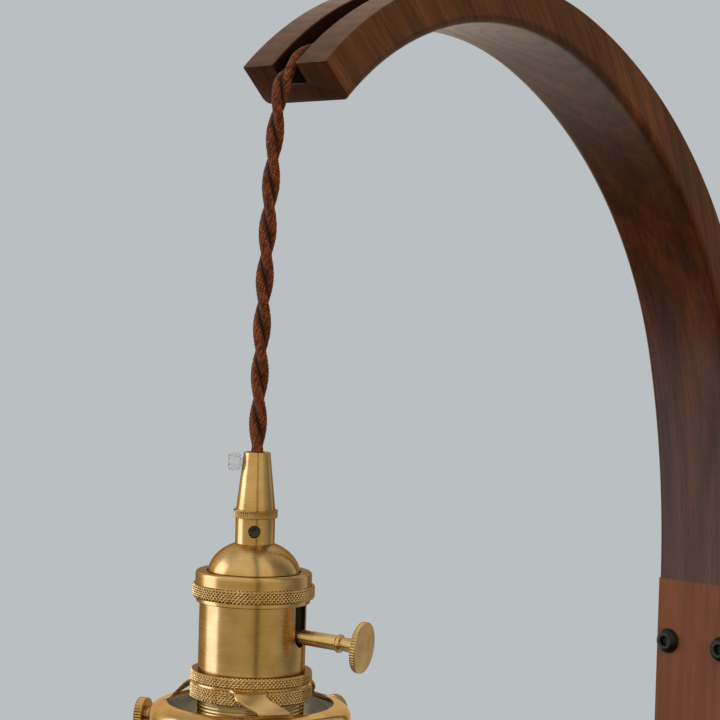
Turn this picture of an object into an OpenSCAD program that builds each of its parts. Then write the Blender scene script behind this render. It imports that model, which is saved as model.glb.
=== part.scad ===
// Wall lamp: an arched walnut arm on a wall post, with a brass key-switch lampholder hanging on a cord.
// Millimetres. The wall is the plane y = 0, +Y points into it, +X is to the right facing it and +Z is up.
// The origin is the middle of the wall plate's back face.

/* [Post] */
// Width of the post and of the arm
arm_w = 41; // [38:0.5:50]
// Depth of the post from the wall to its front face
post_d = 32; // [30:1:45]
// Height of the seam between post and arm above the plate's middle
seam_z = 123; // [120:1:150]
// How far the post reaches below the plate's middle
post_below = 112; // [110:1:150]
// Thickness of the post's front lap over the arm's tongue
lap_t = 7; // [5:0.5:8]
// Length of the arm's tongue inside the post
tongue_l = 55; // [40:1:56]
// Flat cut along the post's upright edges
edge_ease = 1; // [0.5:0.1:2]

/* [Arm] */
// Thickness of the arm
arm_t = 17; // [15:0.5:20]
// Inner radius of the bend above the seam
leg_r = 350; // [300:5:420]
// Angle turned by that bend
leg_turn = 16; // [10:1:20]
// Inner radius of the middle bend
haunch_r = 178; // [150:1:200]
// Angle turned by the middle bend
haunch_turn = 52; // [45:1:58]
// Inner radius of the bend at the free end
tip_r = 118; // [100:1:140]
// Angle turned by the bend at the free end
tip_turn = 67; // [60:1:72]
// Width of the cord slot along the arm's outer face
slot_w = 11; // [8:0.5:14]
// Depth of the cord slot
slot_d = 7; // [6.6:0.1:9]

/* [Wall plate] */
// Width of the plate
plate_w = 37; // [36:0.5:37.5]
// Length of the plate
plate_l = 208; // [204:1:214]
// Thickness of the plate
plate_t = 3; // [2:0.5:4]
// Distance between the two wall holes
wall_hole_pitch = 100; // [80:1:110]
// Diameter of the wall holes
wall_hole_d = 5.5; // [4:0.1:7]
// Width of the wiring pocket in the post
pocket_w = 27; // [22:0.5:30]
// Height of the wiring pocket
pocket_h = 128; // [120:1:130]
// Depth of the wiring pocket from the wall
pocket_d = 16; // [14:0.5:16.5]
// Outer diameter of the cable inlet's grommet
inlet_d = 14; // [11:0.5:18]
// Diameter of the cable inlet's bore
inlet_bore = 8; // [6:0.5:9]

/* [Post screws] */
// Diameter of the screw shanks
screw_d = 6; // [5:0.1:6.2]
// Diameter of the screw heads
screw_head_d = 10.8; // [9:0.1:12]
// Diameter of the screw heads at their top
screw_head_top_d = 6.7; // [6:0.1:8.5]
// Height of the screw heads
screw_head_h = 3.2; // [2:0.1:4]
// Distance between the two screws of a row
screw_pitch = 28; // [24:0.5:28]
// Height of each row of screws above or below the plate's middle
screw_row = 96; // [92:0.5:97]
// Width across flats of the screws' hexagon socket
screw_hex = 4; // [3:0.5:5]
// Depth of the screws' hexagon socket
screw_hex_depth = 2; // [1:0.1:2]
// Diameter of the plate's tapped bosses
boss_d = 8.4; // [8:0.1:9]
// Length of the plate's tapped bosses
boss_l = 8; // [5:0.5:10]

/* [Cord] */
// Diameter over the two twisted strands
cord_d = 6.3; // [5:0.1:6.6]
// Depth of the cord's middle below the arm's outer face
cord_seat = 3.5; // [3.3:0.1:3.8]

/* [Holder cap] */
// Diameter of the cone at its mouth
cone_top_d = 9; // [8.5:0.1:11]
// Diameter of the cone at its foot
cone_foot_d = 13.4; // [12:0.1:15]
// Height of the cone above its knurled collar
cone_h = 19.5; // [15:0.5:25]
// Diameter of the cone's knurled collar
cone_collar_d = 15.1; // [14:0.1:17]
// Height of the cone's knurled collar
cone_collar_h = 2.8; // [2:0.1:4]
// Diameter of the cap's neck
neck_d = 13.5; // [12.5:0.1:15]
// Height of the cap's neck
neck_h = 8.8; // [7:0.1:12]
// Diameter of the dome at its foot
dome_d = 31.8; // [28:0.1:32]
// Height of the dome from its foot to the neck
dome_h = 10.8; // [9:0.1:14]
// Thickness of the cap's sheet brass
cap_wall = 1; // [0.8:0.1:1.5]

/* [Socket] */
// Diameter of the socket shell
shell_d = 36.6; // [36:0.1:38]
// Height of the socket shell that shows above the shade rings
shell_h = 23.1; // [20:0.1:28]
// Diameter of the threaded skirt below
skirt_d = 35.8; // [35.4:0.1:35.9]
// Length of the threaded skirt
skirt_l = 20; // [18:0.5:22]
// Wall of the socket shell
shell_wall = 0.8; // [0.6:0.1:0.9]
// Diameter of the knurled band of the union ring
union_d = 42; // [41:0.1:45]
// Diameter of the union ring's smooth shoulder
shoulder_d = 39.8; // [39.5:0.1:41]
// Diameter of the union ring's plain collar
collar_d = 39; // [38.5:0.1:40]
// Height of the union ring's plain collar
collar_h = 1.6; // [1:0.1:3]
// Height of the union ring's knurled band
band_h = 4.5; // [3:0.1:6]
// Height of the union ring's smooth shoulder
shoulder_h = 4.5; // [4:0.1:6]
// Inner diameter of the lamp's screw shell
lamp_bore = 26.6; // [26.5:0.05:27]

/* [Switch key] */
// Height of the key's axis on the holder's axis above the shade rings
key_h = 13.8; // [12.5:0.1:14.5]
// Direction of the key seen from above, from +X towards the wall
key_angle = 20; // [0:1:45]
// How far the key tilts down from level
key_droop = 4; // [0:0.5:5]
// Diameter of the key's stem
key_stem_d = 5.1; // [4:0.1:6]
// Radius at which the stem ends and the bead begins
key_stem_r = 32; // [28:0.5:36]
// Diameter of the key's knurled disc
key_disc_d = 17.2; // [14:0.1:20]
// Thickness of the key's knurled disc
key_disc_t = 2; // [1.5:0.1:3]
// Width of the key's notch in the shell
key_notch_w = 7.6; // [6.6:0.1:9]

/* [Shade carrier] */
// Diameter of the two knurled shade rings
ring_d = 41.8; // [40:0.1:45]
// Height of the upper shade ring
upper_ring_h = 3.7; // [3:0.1:5]
// Height of the lower shade ring
lower_ring_h = 4.8; // [4:0.1:6]
// Thickness of the carrier's sheet
carrier_t = 0.9; // [0.7:0.1:1.2]
// Diameter of the carrier's opening at its lip
lip_d = 57; // [56:0.5:60]
// Outer diameter of the carrier's band
carrier_d = 69; // [68:0.5:75]
// Depth of the lip below the upper shade ring's top
lip_drop = 11.3; // [10.5:0.1:13]
// Height of the carrier's rounded shoulder
carrier_shoulder_h = 4.3; // [3:0.1:4.5]
// Height of the band below the shoulder
carrier_band_h = 10; // [9:0.5:14]
// Width of each spoke
spoke_w = 12.6; // [9:0.1:14]
// Turn of a spoke from hub to lip
spoke_turn = 17; // [10:1:25]

/* [Thumbscrews] */
// Diameter of a thumbscrew's head
thumb_d = 11.5; // [9:0.1:13]
// Thickness of a thumbscrew's head
thumb_t = 3; // [2:0.1:4]
// Diameter of a thumbscrew's shank
thumb_shank_d = 3; // [2.5:0.1:4]
// Gap between the band and a thumbscrew's head when it is tight
thumb_gap = 3.3; // [2:0.1:5]

/* [Shade and bulb] */
// Diameter of the glass shade at its mouth
shade_d = 150; // [130:1:170]
// Height of the glass shade below its neck
shade_h = 96; // [85:1:120]
// Outer diameter of the glass shade's neck
shade_neck_d = 58; // [55:0.5:60]
// Thickness of the shade's glass
shade_wall = 2.6; // [2:0.1:3.5]
// Diameter of the bulb
bulb_d = 60; // [45:1:64]
// Distance from the upper shade ring's top down to the bulb's middle
bulb_drop = 76; // [72:1:80]
// Thickness of the bulb's glass
bulb_wall = 0.8; // [0.6:0.1:1.2]

/* [Hidden] */
$fn = 96;
eps = 0.01;
// Running clearance round shafts and threads, a side
run = 0.05;
// Loose clearance round parts that drop in, a side
loose = 0.2;
// Clear gap between pieces that move past each other
clear = 0.3;
// How far a cut runs past the face that it opens
cut = 1;

walnut_dark = "#4f3220";
walnut_red = "#75452f";
brass = "#b08a4a";
steel_black = "#17181a";
steel_zinc = "#b7bcc0";
cloth_brown = "#7b4022";
ceramic = "#ece8df";
phenolic = "#2a1f1a";
nylon = "#dfe3e2";
clear_glass = "#dfe8ea66";

// Middles of the arm's three bends, as [y, z], and each bend as [middle, inner radius, start angle, turn]
function polar(c, r, a) = [c[0] + r * cos(a), c[1] + r * sin(a)];
leg_c = [-post_d - leg_r, seam_z];
haunch_c = polar(leg_c, leg_r - haunch_r, leg_turn);
tip_c = polar(haunch_c, haunch_r - tip_r, leg_turn + haunch_turn);
tip_angle = leg_turn + haunch_turn + tip_turn;
bends = [
    [leg_c, leg_r, 0, leg_turn],
    [haunch_c, haunch_r, leg_turn, haunch_turn],
    [tip_c, tip_r, leg_turn + haunch_turn, tip_turn]
];

// Points along the three bends, out from the inner face, from the seam to the free end, a step of angle apart
function arm_curve(out, step) = concat(
    [polar(leg_c, leg_r + out, 0)],
    [
        for (b = bends)
            let (n = ceil(b[3] / step))
            for (k = [1 : n]) polar(b[0], b[1] + out, b[2] + b[3] * k / n)
    ]
);
function reversed(list) = [for (k = [len(list) - 1 : -1 : 0]) list[k]];
wood_step = 2.5;
cord_step = 5;

// Post and plate
post_h = seam_z + post_below;
tongue_back = -post_d + arm_t;
slot_floor = tongue_back - slot_d;
cord_y = tongue_back - cord_seat;
cord_r = cord_d / 2;
screw_tip = 1;
inlet_z = -25;
grommet_lip = 1;
grommet_lip_t = 1.5;
grommet_rise = 2.5;
earth_at = [9, -8];
earth_d = 4;
earth_head_d = 7;
earth_head_t = 2.4;
block_size = [22, 11, 20];
block_top = 18;
block_screw_d = 4.4;
block_screw_l = 6;
block_screw_sunk = 1;

// The cord's way up the post: out of the block, one sway forward and a straight rise to the seam
cord_lead = 6;
cord_sway_r = 15;
cord_sway = 40;
sway_y = 2 * cord_sway_r * (1 - cos(cord_sway));
sway_z = 2 * cord_sway_r * sin(cord_sway);
sway_top = block_top + sway_z + cord_lead;
channel_bottom = block_top + sway_z / 3;

// The hanging cord's route as [y, z], from the slot's end to inside the cone's mouth
exit_step = 0.05;
cord_exit = polar(tip_c, tip_r + arm_t - cord_seat, tip_angle + exit_step);
cord_route = [
    cord_exit,
    [-289.6, 315.8],
    [-290.9, 311.0],
    [-291.8, 305.5],
    [-292.6, 299.0],
    [-293.4, 290.0],
    [-294.1, 280.0],
    [-294.8, 268.0],
    [-295.4, 255.0],
    [-296.0, 242.0],
    [-296.5, 229.0],
    [-296.8, 216.0],
    [-297.0, 203.0],
    [-297.0, 191.0],
    [-297.0, 185.0]
];
bend_end = 4;
cord_sides = 10;
tip_lean = tip_angle + 90;

// Holder levels, above the upper shade ring's top, whose middle hangs at holder_at
holder_at = [0, -297, 115];
shell_lap = 4;
shell_top = shell_h + shell_lap;
band_z = shell_h + collar_h;
shoulder_z = band_z + band_h;
union_top = shoulder_z + shoulder_h;
lip_t = 1.5;
flange_top = union_top - lip_t - eps;
flange_t = 1.5;
flange_d = shell_d - 2 * clear;
dome_z = flange_top;
neck_z = dome_z + dome_h;
cone_z = neck_z + neck_h;
cone_foot = cone_z + cone_collar_h;
cone_top = cone_foot + cone_h;
spigot_l = 6;
cord_ease = 0.35;
cord_bore = cord_d + 2 * cord_ease;
spigot_wall = 1.2;
spigot_d = cord_bore + 2 * spigot_wall;
lock_drop = 3.6;
lock_z = cone_top - lock_drop;
lock_angle = 226;
lock_d = 3;
lock_gap = 1;
lock_head_d = 6.5;
lock_head_t = 4.3;
grub_angle = -46;
grub_d = 3.8;
grub_sunk = 0.3;
grub_hex_d = 1.8;
grub_hex_depth = 0.9;
knurl_ease = 0.4;
shoulder_round = 1.6;
skirt_step = 0.5;

// The switch and the lamp's contacts inside the shell
block_z = 3.5;
block_gap = 0.6;
block_h = shell_h - block_z - block_gap;
holder_cord_top = cord_route[len(cord_route) - 1][1] - holder_at[2] - clear;
terminal_y = 11;
terminal_d = 4;
terminal_l = 4;
terminal_head_d = 6;
terminal_head_t = 2;
insert_d = shell_d - 2 * shell_wall - 2 * loose;
screw_shell_wall = 0.6;
screw_shell_d = lamp_bore + 2 * screw_shell_wall;
screw_shell_rim = 3;
screw_shell_short = 1.5;
insert_short = 1;
insert_skirt_r = skirt_d / 2 - shell_wall - loose;
rivet_r = 2.1;
contact_r = 4;
floor_z = 0.6;
cam_d = 11;
cam_l = 8;
key_bead_r = 3.1;
key_bead_t = 1.4;
key_ease = 0.4;
key_throat_r = 2.2;
key_boss_r = 2.9;
key_disc_r = key_stem_r + 8;

// Shade carrier, shade and bulb levels, and their small sizes
spokes = 3;
spoke_angle = -45.5;
spoke_hub_lap = 1.4;
spoke_lip_lap = 1;
spoke_tail = 0.6;
lower_ring_z = -upper_ring_h - carrier_t - lower_ring_h;
band_bottom = -lip_drop - carrier_shoulder_h - carrier_band_h;
thumb_drop = 3.4;
thumb_z = -lip_drop - carrier_shoulder_h - thumb_drop;
thumb_angle = 207;
thumb_head_r = carrier_d / 2 + thumb_gap;
thumb_collar_d = 5.8;
thumb_collar_h = 1.6;
neck_r = shade_neck_d / 2;
shade_gap = 0.9;
shade_top = -lip_drop - carrier_t - shade_gap;
neck_below = 1;
shade_neck_end = band_bottom - neck_below;
bead_r = 1.3;
bead_run = 0.6;
bell_flare = 0.18;
bell_bias = 0.8;
bulb_cap_top = -1;
bulb_cap_below = 5;
bulb_cap_end = -skirt_l - bulb_cap_below;
bulb_cap_r = lamp_bore / 2 - 2 * run;
bulb_cap_wall = 1.1;
bulb_tip_r = 9;
bulb_tip_z = -2.6;
bulb_shoulder_z = -5;
insulator_r = 8;
insulator_z = -4;
button_r = 4.5;
bulb_throat_r = bulb_cap_r - bulb_cap_wall - clear;
bulb_seat = 8;
bulb_start = 52;
stem_above = 20;
stem_end = -bulb_drop + stem_above;
stem_tip_r = 2.5;
stem_r = 3.5;
stem_flare = 14;
stem_foot = 2;
support_d = 1.4;
support_l = 40;
filament_r = 8;
filament_d = 1.8;
filament_low = 38;
filament_l = 36;
spreader_t = 1;

// A rectangle from x = 0, centred on y, with its four corners cut off
function eased(t, w, e) = [
    [e, -w / 2], [t - e, -w / 2], [t, -w / 2 + e], [t, w / 2 - e],
    [t - e, w / 2], [e, w / 2], [0, w / 2 - e], [0, -w / 2 + e]
];

// Turns a shape drawn in [y, z] and thick along its own z into the lamp's side plane
module side_plane() rotate([90, 0, 90]) children();

// A slab of the arm's side outline between two distances out from its inner face
module arm_slab(from, to, w) {
    translate([-w / 2, 0, 0])
        side_plane()
            linear_extrude(w)
                polygon(concat(arm_curve(from, wood_step), reversed(arm_curve(to, wood_step))));
}

// Places children at each post screw, with +Z pointing out of the post's front
module at_post_screws()
    for (x = [-1, 1] * screw_pitch / 2, z = [-1, 1] * screw_row)
        translate([x, -post_d, z]) rotate([90, 0, 0]) children();

module base_post()
    color(walnut_red)
        difference() {
            translate([0, -post_d, -post_below])
                rotate(90)
                    linear_extrude(post_h) polygon(eased(post_d, arm_w, edge_ease));
            translate([-arm_w, -post_d + lap_t, seam_z - tongue_l])
                cube([2 * arm_w, arm_t - lap_t, tongue_l + cut]);
            translate([-plate_w / 2 - loose, -plate_t, -plate_l / 2 - loose])
                cube([plate_w + 2 * loose, plate_t + cut, plate_l + 2 * loose]);
            translate([-pocket_w / 2, -pocket_d, -pocket_h / 2])
                cube([pocket_w, pocket_d, pocket_h]);
            translate([-slot_w / 2, slot_floor, channel_bottom])
                cube([slot_w, slot_d, seam_z - tongue_l - channel_bottom + eps]);
            at_post_screws() {
                translate([0, 0, -post_d - cut]) cylinder(d = screw_d + 2 * loose, h = post_d + 2 * cut);
                translate([0, 0, -post_d - cut])
                    cylinder(d = boss_d + 2 * loose, h = boss_l + plate_t + loose + cut);
            }
        }

module arm()
    color(walnut_dark)
        difference() {
            union() {
                arm_slab(0, arm_t, arm_w);
                translate([-arm_w / 2, -post_d + lap_t, seam_z - tongue_l])
                    cube([arm_w, arm_t - lap_t, tongue_l + eps]);
            }
            arm_slab(arm_t - slot_d, arm_t + cut, slot_w);
            translate([-slot_w / 2, slot_floor, seam_z - tongue_l - cut])
                cube([slot_w, slot_d + cut, tongue_l + cut + eps]);
            at_post_screws()
                translate([0, 0, -post_d]) cylinder(d = screw_d + 2 * loose, h = post_d);
        }

module wall_plate()
    color(steel_zinc)
        difference() {
            union() {
                translate([-plate_w / 2, -plate_t, -plate_l / 2]) cube([plate_w, plate_t, plate_l]);
                at_post_screws()
                    translate([0, 0, -post_d + plate_t - eps]) cylinder(d = boss_d, h = boss_l);
            }
            at_post_screws()
                translate([0, 0, -post_d - cut]) cylinder(d = screw_d + 2 * run, h = post_d);
            for (z = [-1, 1] * wall_hole_pitch / 2)
                translate([0, cut, z]) rotate([90, 0, 0]) cylinder(d = wall_hole_d, h = plate_t + 2 * cut);
            translate([0, cut, inlet_z])
                rotate([90, 0, 0]) cylinder(d = inlet_d - 2 * grommet_lip, h = plate_t + 2 * cut);
            translate([earth_at[0], cut, earth_at[1]])
                rotate([90, 0, 0]) cylinder(d = earth_d, h = plate_t + 2 * cut);
        }

module post_screws()
    color(steel_black)
        at_post_screws()
            difference() {
                union() {
                    translate([0, 0, -post_d + screw_tip])
                        cylinder(d = screw_d, h = post_d - screw_tip + eps);
                    cylinder(d1 = screw_head_d, d2 = screw_head_top_d, h = screw_head_h);
                }
                translate([0, 0, screw_head_h - screw_hex_depth])
                    cylinder(d = screw_hex / cos(30), h = screw_hex_depth + cut, $fn = 6);
            }

module inlet_grommet()
    color(phenolic)
        translate([0, 0, inlet_z])
            rotate([90, 0, 0])
                rotate_extrude()
                    polygon([
                        [inlet_bore / 2, 0], [inlet_d / 2 - grommet_lip, 0],
                        [inlet_d / 2 - grommet_lip, plate_t],
                        [inlet_d / 2, plate_t], [inlet_d / 2, plate_t + grommet_lip_t],
                        [inlet_bore / 2, plate_t + grommet_rise]
                    ]);

module at_block_screws()
    for (x = [-1, 1] * block_size[0] / 4)
        translate([x, -plate_t - block_size[1], block_top - block_size[2] / 2])
            rotate([-90, 0, 0]) children();

module terminal_block()
    color(nylon)
        difference() {
            translate([-block_size[0] / 2, -plate_t - block_size[1], block_top - block_size[2]])
                cube(block_size);
            at_block_screws()
                translate([0, 0, -cut])
                    cylinder(d = block_screw_d + 2 * run, h = cut + block_screw_sunk + block_screw_l);
        }

module block_screws()
    color(brass)
        at_block_screws()
            translate([0, 0, block_screw_sunk]) cylinder(d = block_screw_d, h = block_screw_l);

module earth_screw()
    color(brass)
        translate([earth_at[0], 0, earth_at[1]])
            rotate([90, 0, 0]) {
                cylinder(d = earth_d, h = plate_t);
                translate([0, 0, plate_t]) cylinder(d = earth_head_d, h = earth_head_t);
            }

// A closed round tube along a path of [y, z] points, whose cross rings lean as the leans say
function cord_ring(p, lean) = [
    for (k = [0 : cord_sides - 1])
        let (a = 360 * k / cord_sides, s = cord_r * cos(a))
        [cord_r * sin(a), p[0] - s * sin(lean), p[1] + s * cos(lean)]
];

function leans(path, first, last) = [
    for (i = [0 : len(path) - 1])
        i == 0 ? first :
        i == len(path) - 1 ? last :
        let (d = path[i + 1] - path[i - 1]) atan2(d[1], d[0])
];

module cord_tube(path, path_leans) {
    n = cord_sides;
    rings = len(path);
    points = [for (i = [0 : rings - 1]) each cord_ring(path[i], path_leans[i])];
    walls = [
        for (r = [0 : rings - 2], k = [0 : n - 1])
            let (a = r * n + k, b = r * n + (k + 1) % n)
            each [[a, b, b + n], [a, b + n, a + n]]
    ];
    lids = [[for (k = [n - 1 : -1 : 0]) k], [for (k = [0 : n - 1]) (rings - 1) * n + k]];
    color(cloth_brown) polyhedron(points, concat(walls, lids));
}

// From the terminal block up the post, with one sway forward, and round the arm to its free end
module arm_cord() {
    sway_steps = 4;
    rise_steps = 5;
    low = [cord_y + sway_y - cord_sway_r, sway_top - sway_z];
    high = [cord_y + cord_sway_r, sway_top];
    path = concat(
        [[cord_y + sway_y, block_top]],
        [for (k = [0 : sway_steps]) polar(low, cord_sway_r, cord_sway * k / sway_steps)],
        [for (k = [1 : sway_steps]) polar(high, cord_sway_r, 180 + cord_sway * (1 - k / sway_steps))],
        [for (k = [1 : rise_steps - 1]) [cord_y, sway_top + (seam_z - sway_top) * k / rise_steps]],
        arm_curve(arm_t - cord_seat, cord_step)
    );
    cord_tube(path, leans(path, 90, tip_lean));
}

route_leans = leans(cord_route, tip_lean, -90);

module cord_bend()
    cord_tube([for (i = [0 : bend_end]) cord_route[i]], [for (i = [0 : bend_end]) route_leans[i]]);

module cord_drop() {
    last = len(cord_route) - 1;
    cord_tube([for (i = [bend_end : last]) cord_route[i]], [for (i = [bend_end : last]) route_leans[i]]);
}

module at_holder() translate(holder_at) children();

// A turned ring or shell from its section, drawn as [radius, height]
module turned(section) at_holder() rotate_extrude() polygon(section);

// Points on an ellipse of half width r and half height h, from one angle to another, above the dome's foot
dome_steps = 12;
function dome_points(r, h, from, to) = [
    for (k = [0 : dome_steps])
        let (a = from + (to - from) * k / dome_steps) [r * cos(a), dome_z + h * sin(a)]
];

module cord_cone()
    color(brass)
        at_holder()
            difference() {
                rotate_extrude()
                    polygon([
                        [cord_bore / 2, cone_z - spigot_l], [spigot_d / 2, cone_z - spigot_l],
                        [spigot_d / 2, cone_z], [cone_collar_d / 2, cone_z], [cone_collar_d / 2, cone_foot],
                        [cone_foot_d / 2, cone_foot], [cone_top_d / 2, cone_top], [cord_bore / 2, cone_top]
                    ]);
                translate([0, 0, lock_z])
                    rotate([0, 90, lock_angle]) cylinder(d = lock_d + 2 * run, h = cone_foot_d);
            }

module cord_lock_screw()
    color(nylon)
        at_holder()
            translate([0, 0, lock_z])
                rotate([0, 90, lock_angle]) {
                    translate([0, 0, cord_bore / 2])
                        cylinder(d = lock_d, h = (cone_top_d - cord_bore) / 2 + lock_gap + eps);
                    translate([0, 0, cone_top_d / 2 + lock_gap]) cylinder(d = lock_head_d, h = lock_head_t);
                }

module holder_cord()
    color(cloth_brown)
        at_holder()
            translate([0, 0, block_z + block_h])
                cylinder(d = cord_d, h = holder_cord_top - block_z - block_h);

module cap_dome() {
    dome_end = acos(neck_d / dome_d);
    rise = dome_h / sin(dome_end);
    inner_r = dome_d / 2 - cap_wall;
    bore_r = spigot_d / 2 + run;
    color(brass)
        at_holder()
            difference() {
                rotate_extrude()
                    polygon(concat(
                        [[inner_r, flange_top - flange_t], [flange_d / 2, flange_top - flange_t]],
                        [[flange_d / 2, flange_top]],
                        dome_points(dome_d / 2, rise, 0, dome_end),
                        [[neck_d / 2, cone_z], [bore_r, cone_z]],
                        dome_points(inner_r, rise - cap_wall, acos(bore_r / inner_r), 0)
                    ));
                translate([0, 0, neck_z + neck_h / 2])
                    rotate([0, 90, grub_angle]) cylinder(d = grub_d + 2 * run, h = neck_d);
            }
}

module neck_grub_screw()
    color(steel_black)
        at_holder()
            translate([0, 0, neck_z + neck_h / 2])
                rotate([0, 90, grub_angle])
                    difference() {
                        translate([0, 0, spigot_d / 2 + 2 * run])
                            cylinder(d = grub_d, h = (neck_d - spigot_d) / 2 - 2 * run - grub_sunk);
                        translate([0, 0, neck_d / 2 - grub_sunk - grub_hex_depth])
                            cylinder(d = grub_hex_d, h = grub_hex_depth + cut, $fn = 6);
                    }

module union_ring()
    color(brass)
        turned(concat(
            [[shell_d / 2 + run, shell_h], [collar_d / 2, shell_h], [collar_d / 2, band_z]],
            [[union_d / 2 - knurl_ease, band_z], [union_d / 2, band_z + knurl_ease]],
            [[union_d / 2, shoulder_z - knurl_ease], [union_d / 2 - knurl_ease, shoulder_z]],
            [[shoulder_d / 2, shoulder_z]],
            [for (a = [0 : 15 : 90])
                [shoulder_d / 2 - shoulder_round * (1 - cos(a)), union_top - shoulder_round * (1 - sin(a))]],
            [[dome_d / 2 + loose, union_top], [dome_d / 2 + loose, union_top - lip_t]],
            [[shell_d / 2 + run, union_top - lip_t]]
        ));

module key_frame()
    at_holder() translate([0, 0, key_h]) rotate([0, 90 + key_droop, key_angle]) children();

module socket_shell()
    color(brass)
        difference() {
            turned([
                [shell_d / 2 - shell_wall, 0], [skirt_d / 2 - shell_wall, -skirt_step],
                [skirt_d / 2 - shell_wall, -skirt_l],
                [skirt_d / 2, -skirt_l], [skirt_d / 2, 0], [shell_d / 2, 0], [shell_d / 2, shell_top],
                [shell_d / 2 - shell_wall, shell_top]
            ]);
            key_frame() cylinder(d = key_notch_w, h = shell_d);
            key_frame() translate([-shell_top, -key_notch_w / 2, 0]) cube([shell_top, key_notch_w, shell_d]);
        }

module switch_block()
    color(phenolic)
        difference() {
            at_holder() translate([0, 0, block_z]) cylinder(d = insert_d, h = block_h);
            key_frame() cylinder(d = key_stem_d + 2 * run, h = shell_d);
            key_frame()
                translate([0, 0, -cam_l / 2 - clear]) cylinder(d = cam_d + 2 * clear, h = cam_l + 2 * clear);
            at_holder()
                for (y = [-1, 1] * terminal_y)
                    translate([0, y, block_z + block_h - terminal_l])
                        cylinder(d = terminal_d, h = terminal_l + cut);
        }

module switch_terminals()
    color(brass)
        at_holder()
            for (y = [-1, 1] * terminal_y)
                translate([0, y, block_z + block_h - terminal_l]) {
                    cylinder(d = terminal_d, h = terminal_l);
                    translate([0, 0, terminal_l]) cylinder(d = terminal_head_d, h = terminal_head_t);
                }

module ceramic_insert()
    color(ceramic)
        turned([
            [rivet_r, floor_z], [screw_shell_d / 2, floor_z], [screw_shell_d / 2, -skirt_l + insert_short],
            [insert_skirt_r, -skirt_l + insert_short], [insert_skirt_r, 0], [insert_d / 2, floor_z],
            [insert_d / 2, block_z], [rivet_r, block_z]
        ]);

module screw_shell()
    color(brass)
        turned([
            [lamp_bore / 2, -skirt_l + screw_shell_short], [screw_shell_d / 2, -skirt_l + screw_shell_short],
            [screw_shell_d / 2, floor_z], [lamp_bore / 2 - screw_shell_rim, floor_z],
            [lamp_bore / 2 - screw_shell_rim, floor_z - screw_shell_wall],
            [lamp_bore / 2, floor_z - screw_shell_wall]
        ]);

module centre_contact()
    color(brass)
        turned([
            [0, bulb_cap_top], [contact_r, bulb_cap_top], [contact_r, floor_z],
            [rivet_r, floor_z], [rivet_r, block_z], [0, block_z]
        ]);

module shade_ring(z, h)
    color(brass)
        turned([
            [skirt_d / 2 + run, z], [ring_d / 2 - knurl_ease, z], [ring_d / 2, z + knurl_ease],
            [ring_d / 2, z + h - knurl_ease], [ring_d / 2 - knurl_ease, z + h], [skirt_d / 2 + run, z + h]
        ]);

module upper_shade_ring() shade_ring(-upper_ring_h, upper_ring_h);

module lower_shade_ring() shade_ring(lower_ring_z, lower_ring_h);

// One spoke: a strip of sheet from under the upper ring, down and round to the lip
module spoke() {
    hub_r = ring_d / 2 - spoke_hub_lap;
    lip_r = lip_d / 2 + spoke_lip_lap;
    rise = lip_drop - upper_ring_h - carrier_t / 2;
    to = [lip_r * cos(spoke_turn), lip_r * sin(spoke_turn)];
    run_xy = norm([to[0] - hub_r, to[1]]);
    heading = atan2(to[1], to[0] - hub_r);
    tilt = atan2(rise, run_xy);
    translate([hub_r, 0, -upper_ring_h - carrier_t / 2])
        rotate([0, tilt, heading])
            translate([-spoke_lip_lap, -spoke_w / 2, -carrier_t / 2])
                cube([norm([run_xy, rise]) + spoke_lip_lap + spoke_tail, spoke_w, carrier_t]);
}

module carrier_band() {
    outer_r = carrier_d / 2;
    lip_r = lip_d / 2;
    span = outer_r - lip_r;
    quarter = [for (a = [90 : -10 : 0]) [cos(a), sin(a)]];
    inner_span = span - carrier_t;
    inner_h = carrier_shoulder_h - carrier_t;
    rotate_extrude()
        polygon(concat(
            [for (p = quarter) [lip_r + span * p[0], -lip_drop - carrier_shoulder_h * (1 - p[1])]],
            [[outer_r, band_bottom], [outer_r - carrier_t, band_bottom]],
            [for (p = reversed(quarter))
                [lip_r + inner_span * p[0], -lip_drop - carrier_t - inner_h * (1 - p[1])]]
        ));
}

module shade_carrier()
    color(brass)
        at_holder()
            difference() {
                union() {
                    translate([0, 0, -upper_ring_h - carrier_t])
                        cylinder(d = ring_d - 2 * knurl_ease, h = carrier_t);
                    for (k = [0 : spokes - 1])
                        rotate(spoke_angle + k * 360 / spokes) spoke();
                    carrier_band();
                }
                translate([0, 0, lower_ring_z - eps])
                    cylinder(d = ring_d + 2 * loose, h = lower_ring_h + eps);
                translate([0, 0, -upper_ring_h]) cylinder(d = ring_d + 2 * cut, h = upper_ring_h);
                translate([0, 0, -upper_ring_h - carrier_t - cut])
                    cylinder(d = skirt_d + 2 * run, h = carrier_t + 2 * cut);
                for (k = [0 : spokes - 1])
                    translate([0, 0, thumb_z])
                        rotate([0, 90, thumb_angle + k * 360 / spokes])
                            cylinder(d = thumb_shank_d + 2 * run, h = carrier_d);
            }

module thumbscrew(k)
    color(brass)
        at_holder()
            translate([0, 0, thumb_z])
                rotate([0, 90, thumb_angle + k * 360 / spokes]) {
                    translate([0, 0, neck_r + clear])
                        cylinder(d = thumb_shank_d, h = thumb_head_r - neck_r - clear + eps);
                    translate([0, 0, thumb_head_r - thumb_collar_h])
                        cylinder(d = thumb_collar_d, h = thumb_collar_h + eps);
                    translate([0, 0, thumb_head_r]) cylinder(d = thumb_d, h = thumb_t);
                }

module thumbscrew_1() thumbscrew(0);

module thumbscrew_2() thumbscrew(1);

module thumbscrew_3() thumbscrew(2);

// Radius of the shade's outside at a share t of its height below the neck: a bell that opens in one S
function bell_r(t) =
    neck_r + (shade_d / 2 - neck_r)
        * ((1 - bell_flare) * (1 - cos(180 * pow(t, bell_bias))) / 2 + bell_flare * pow(t, 4));

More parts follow.
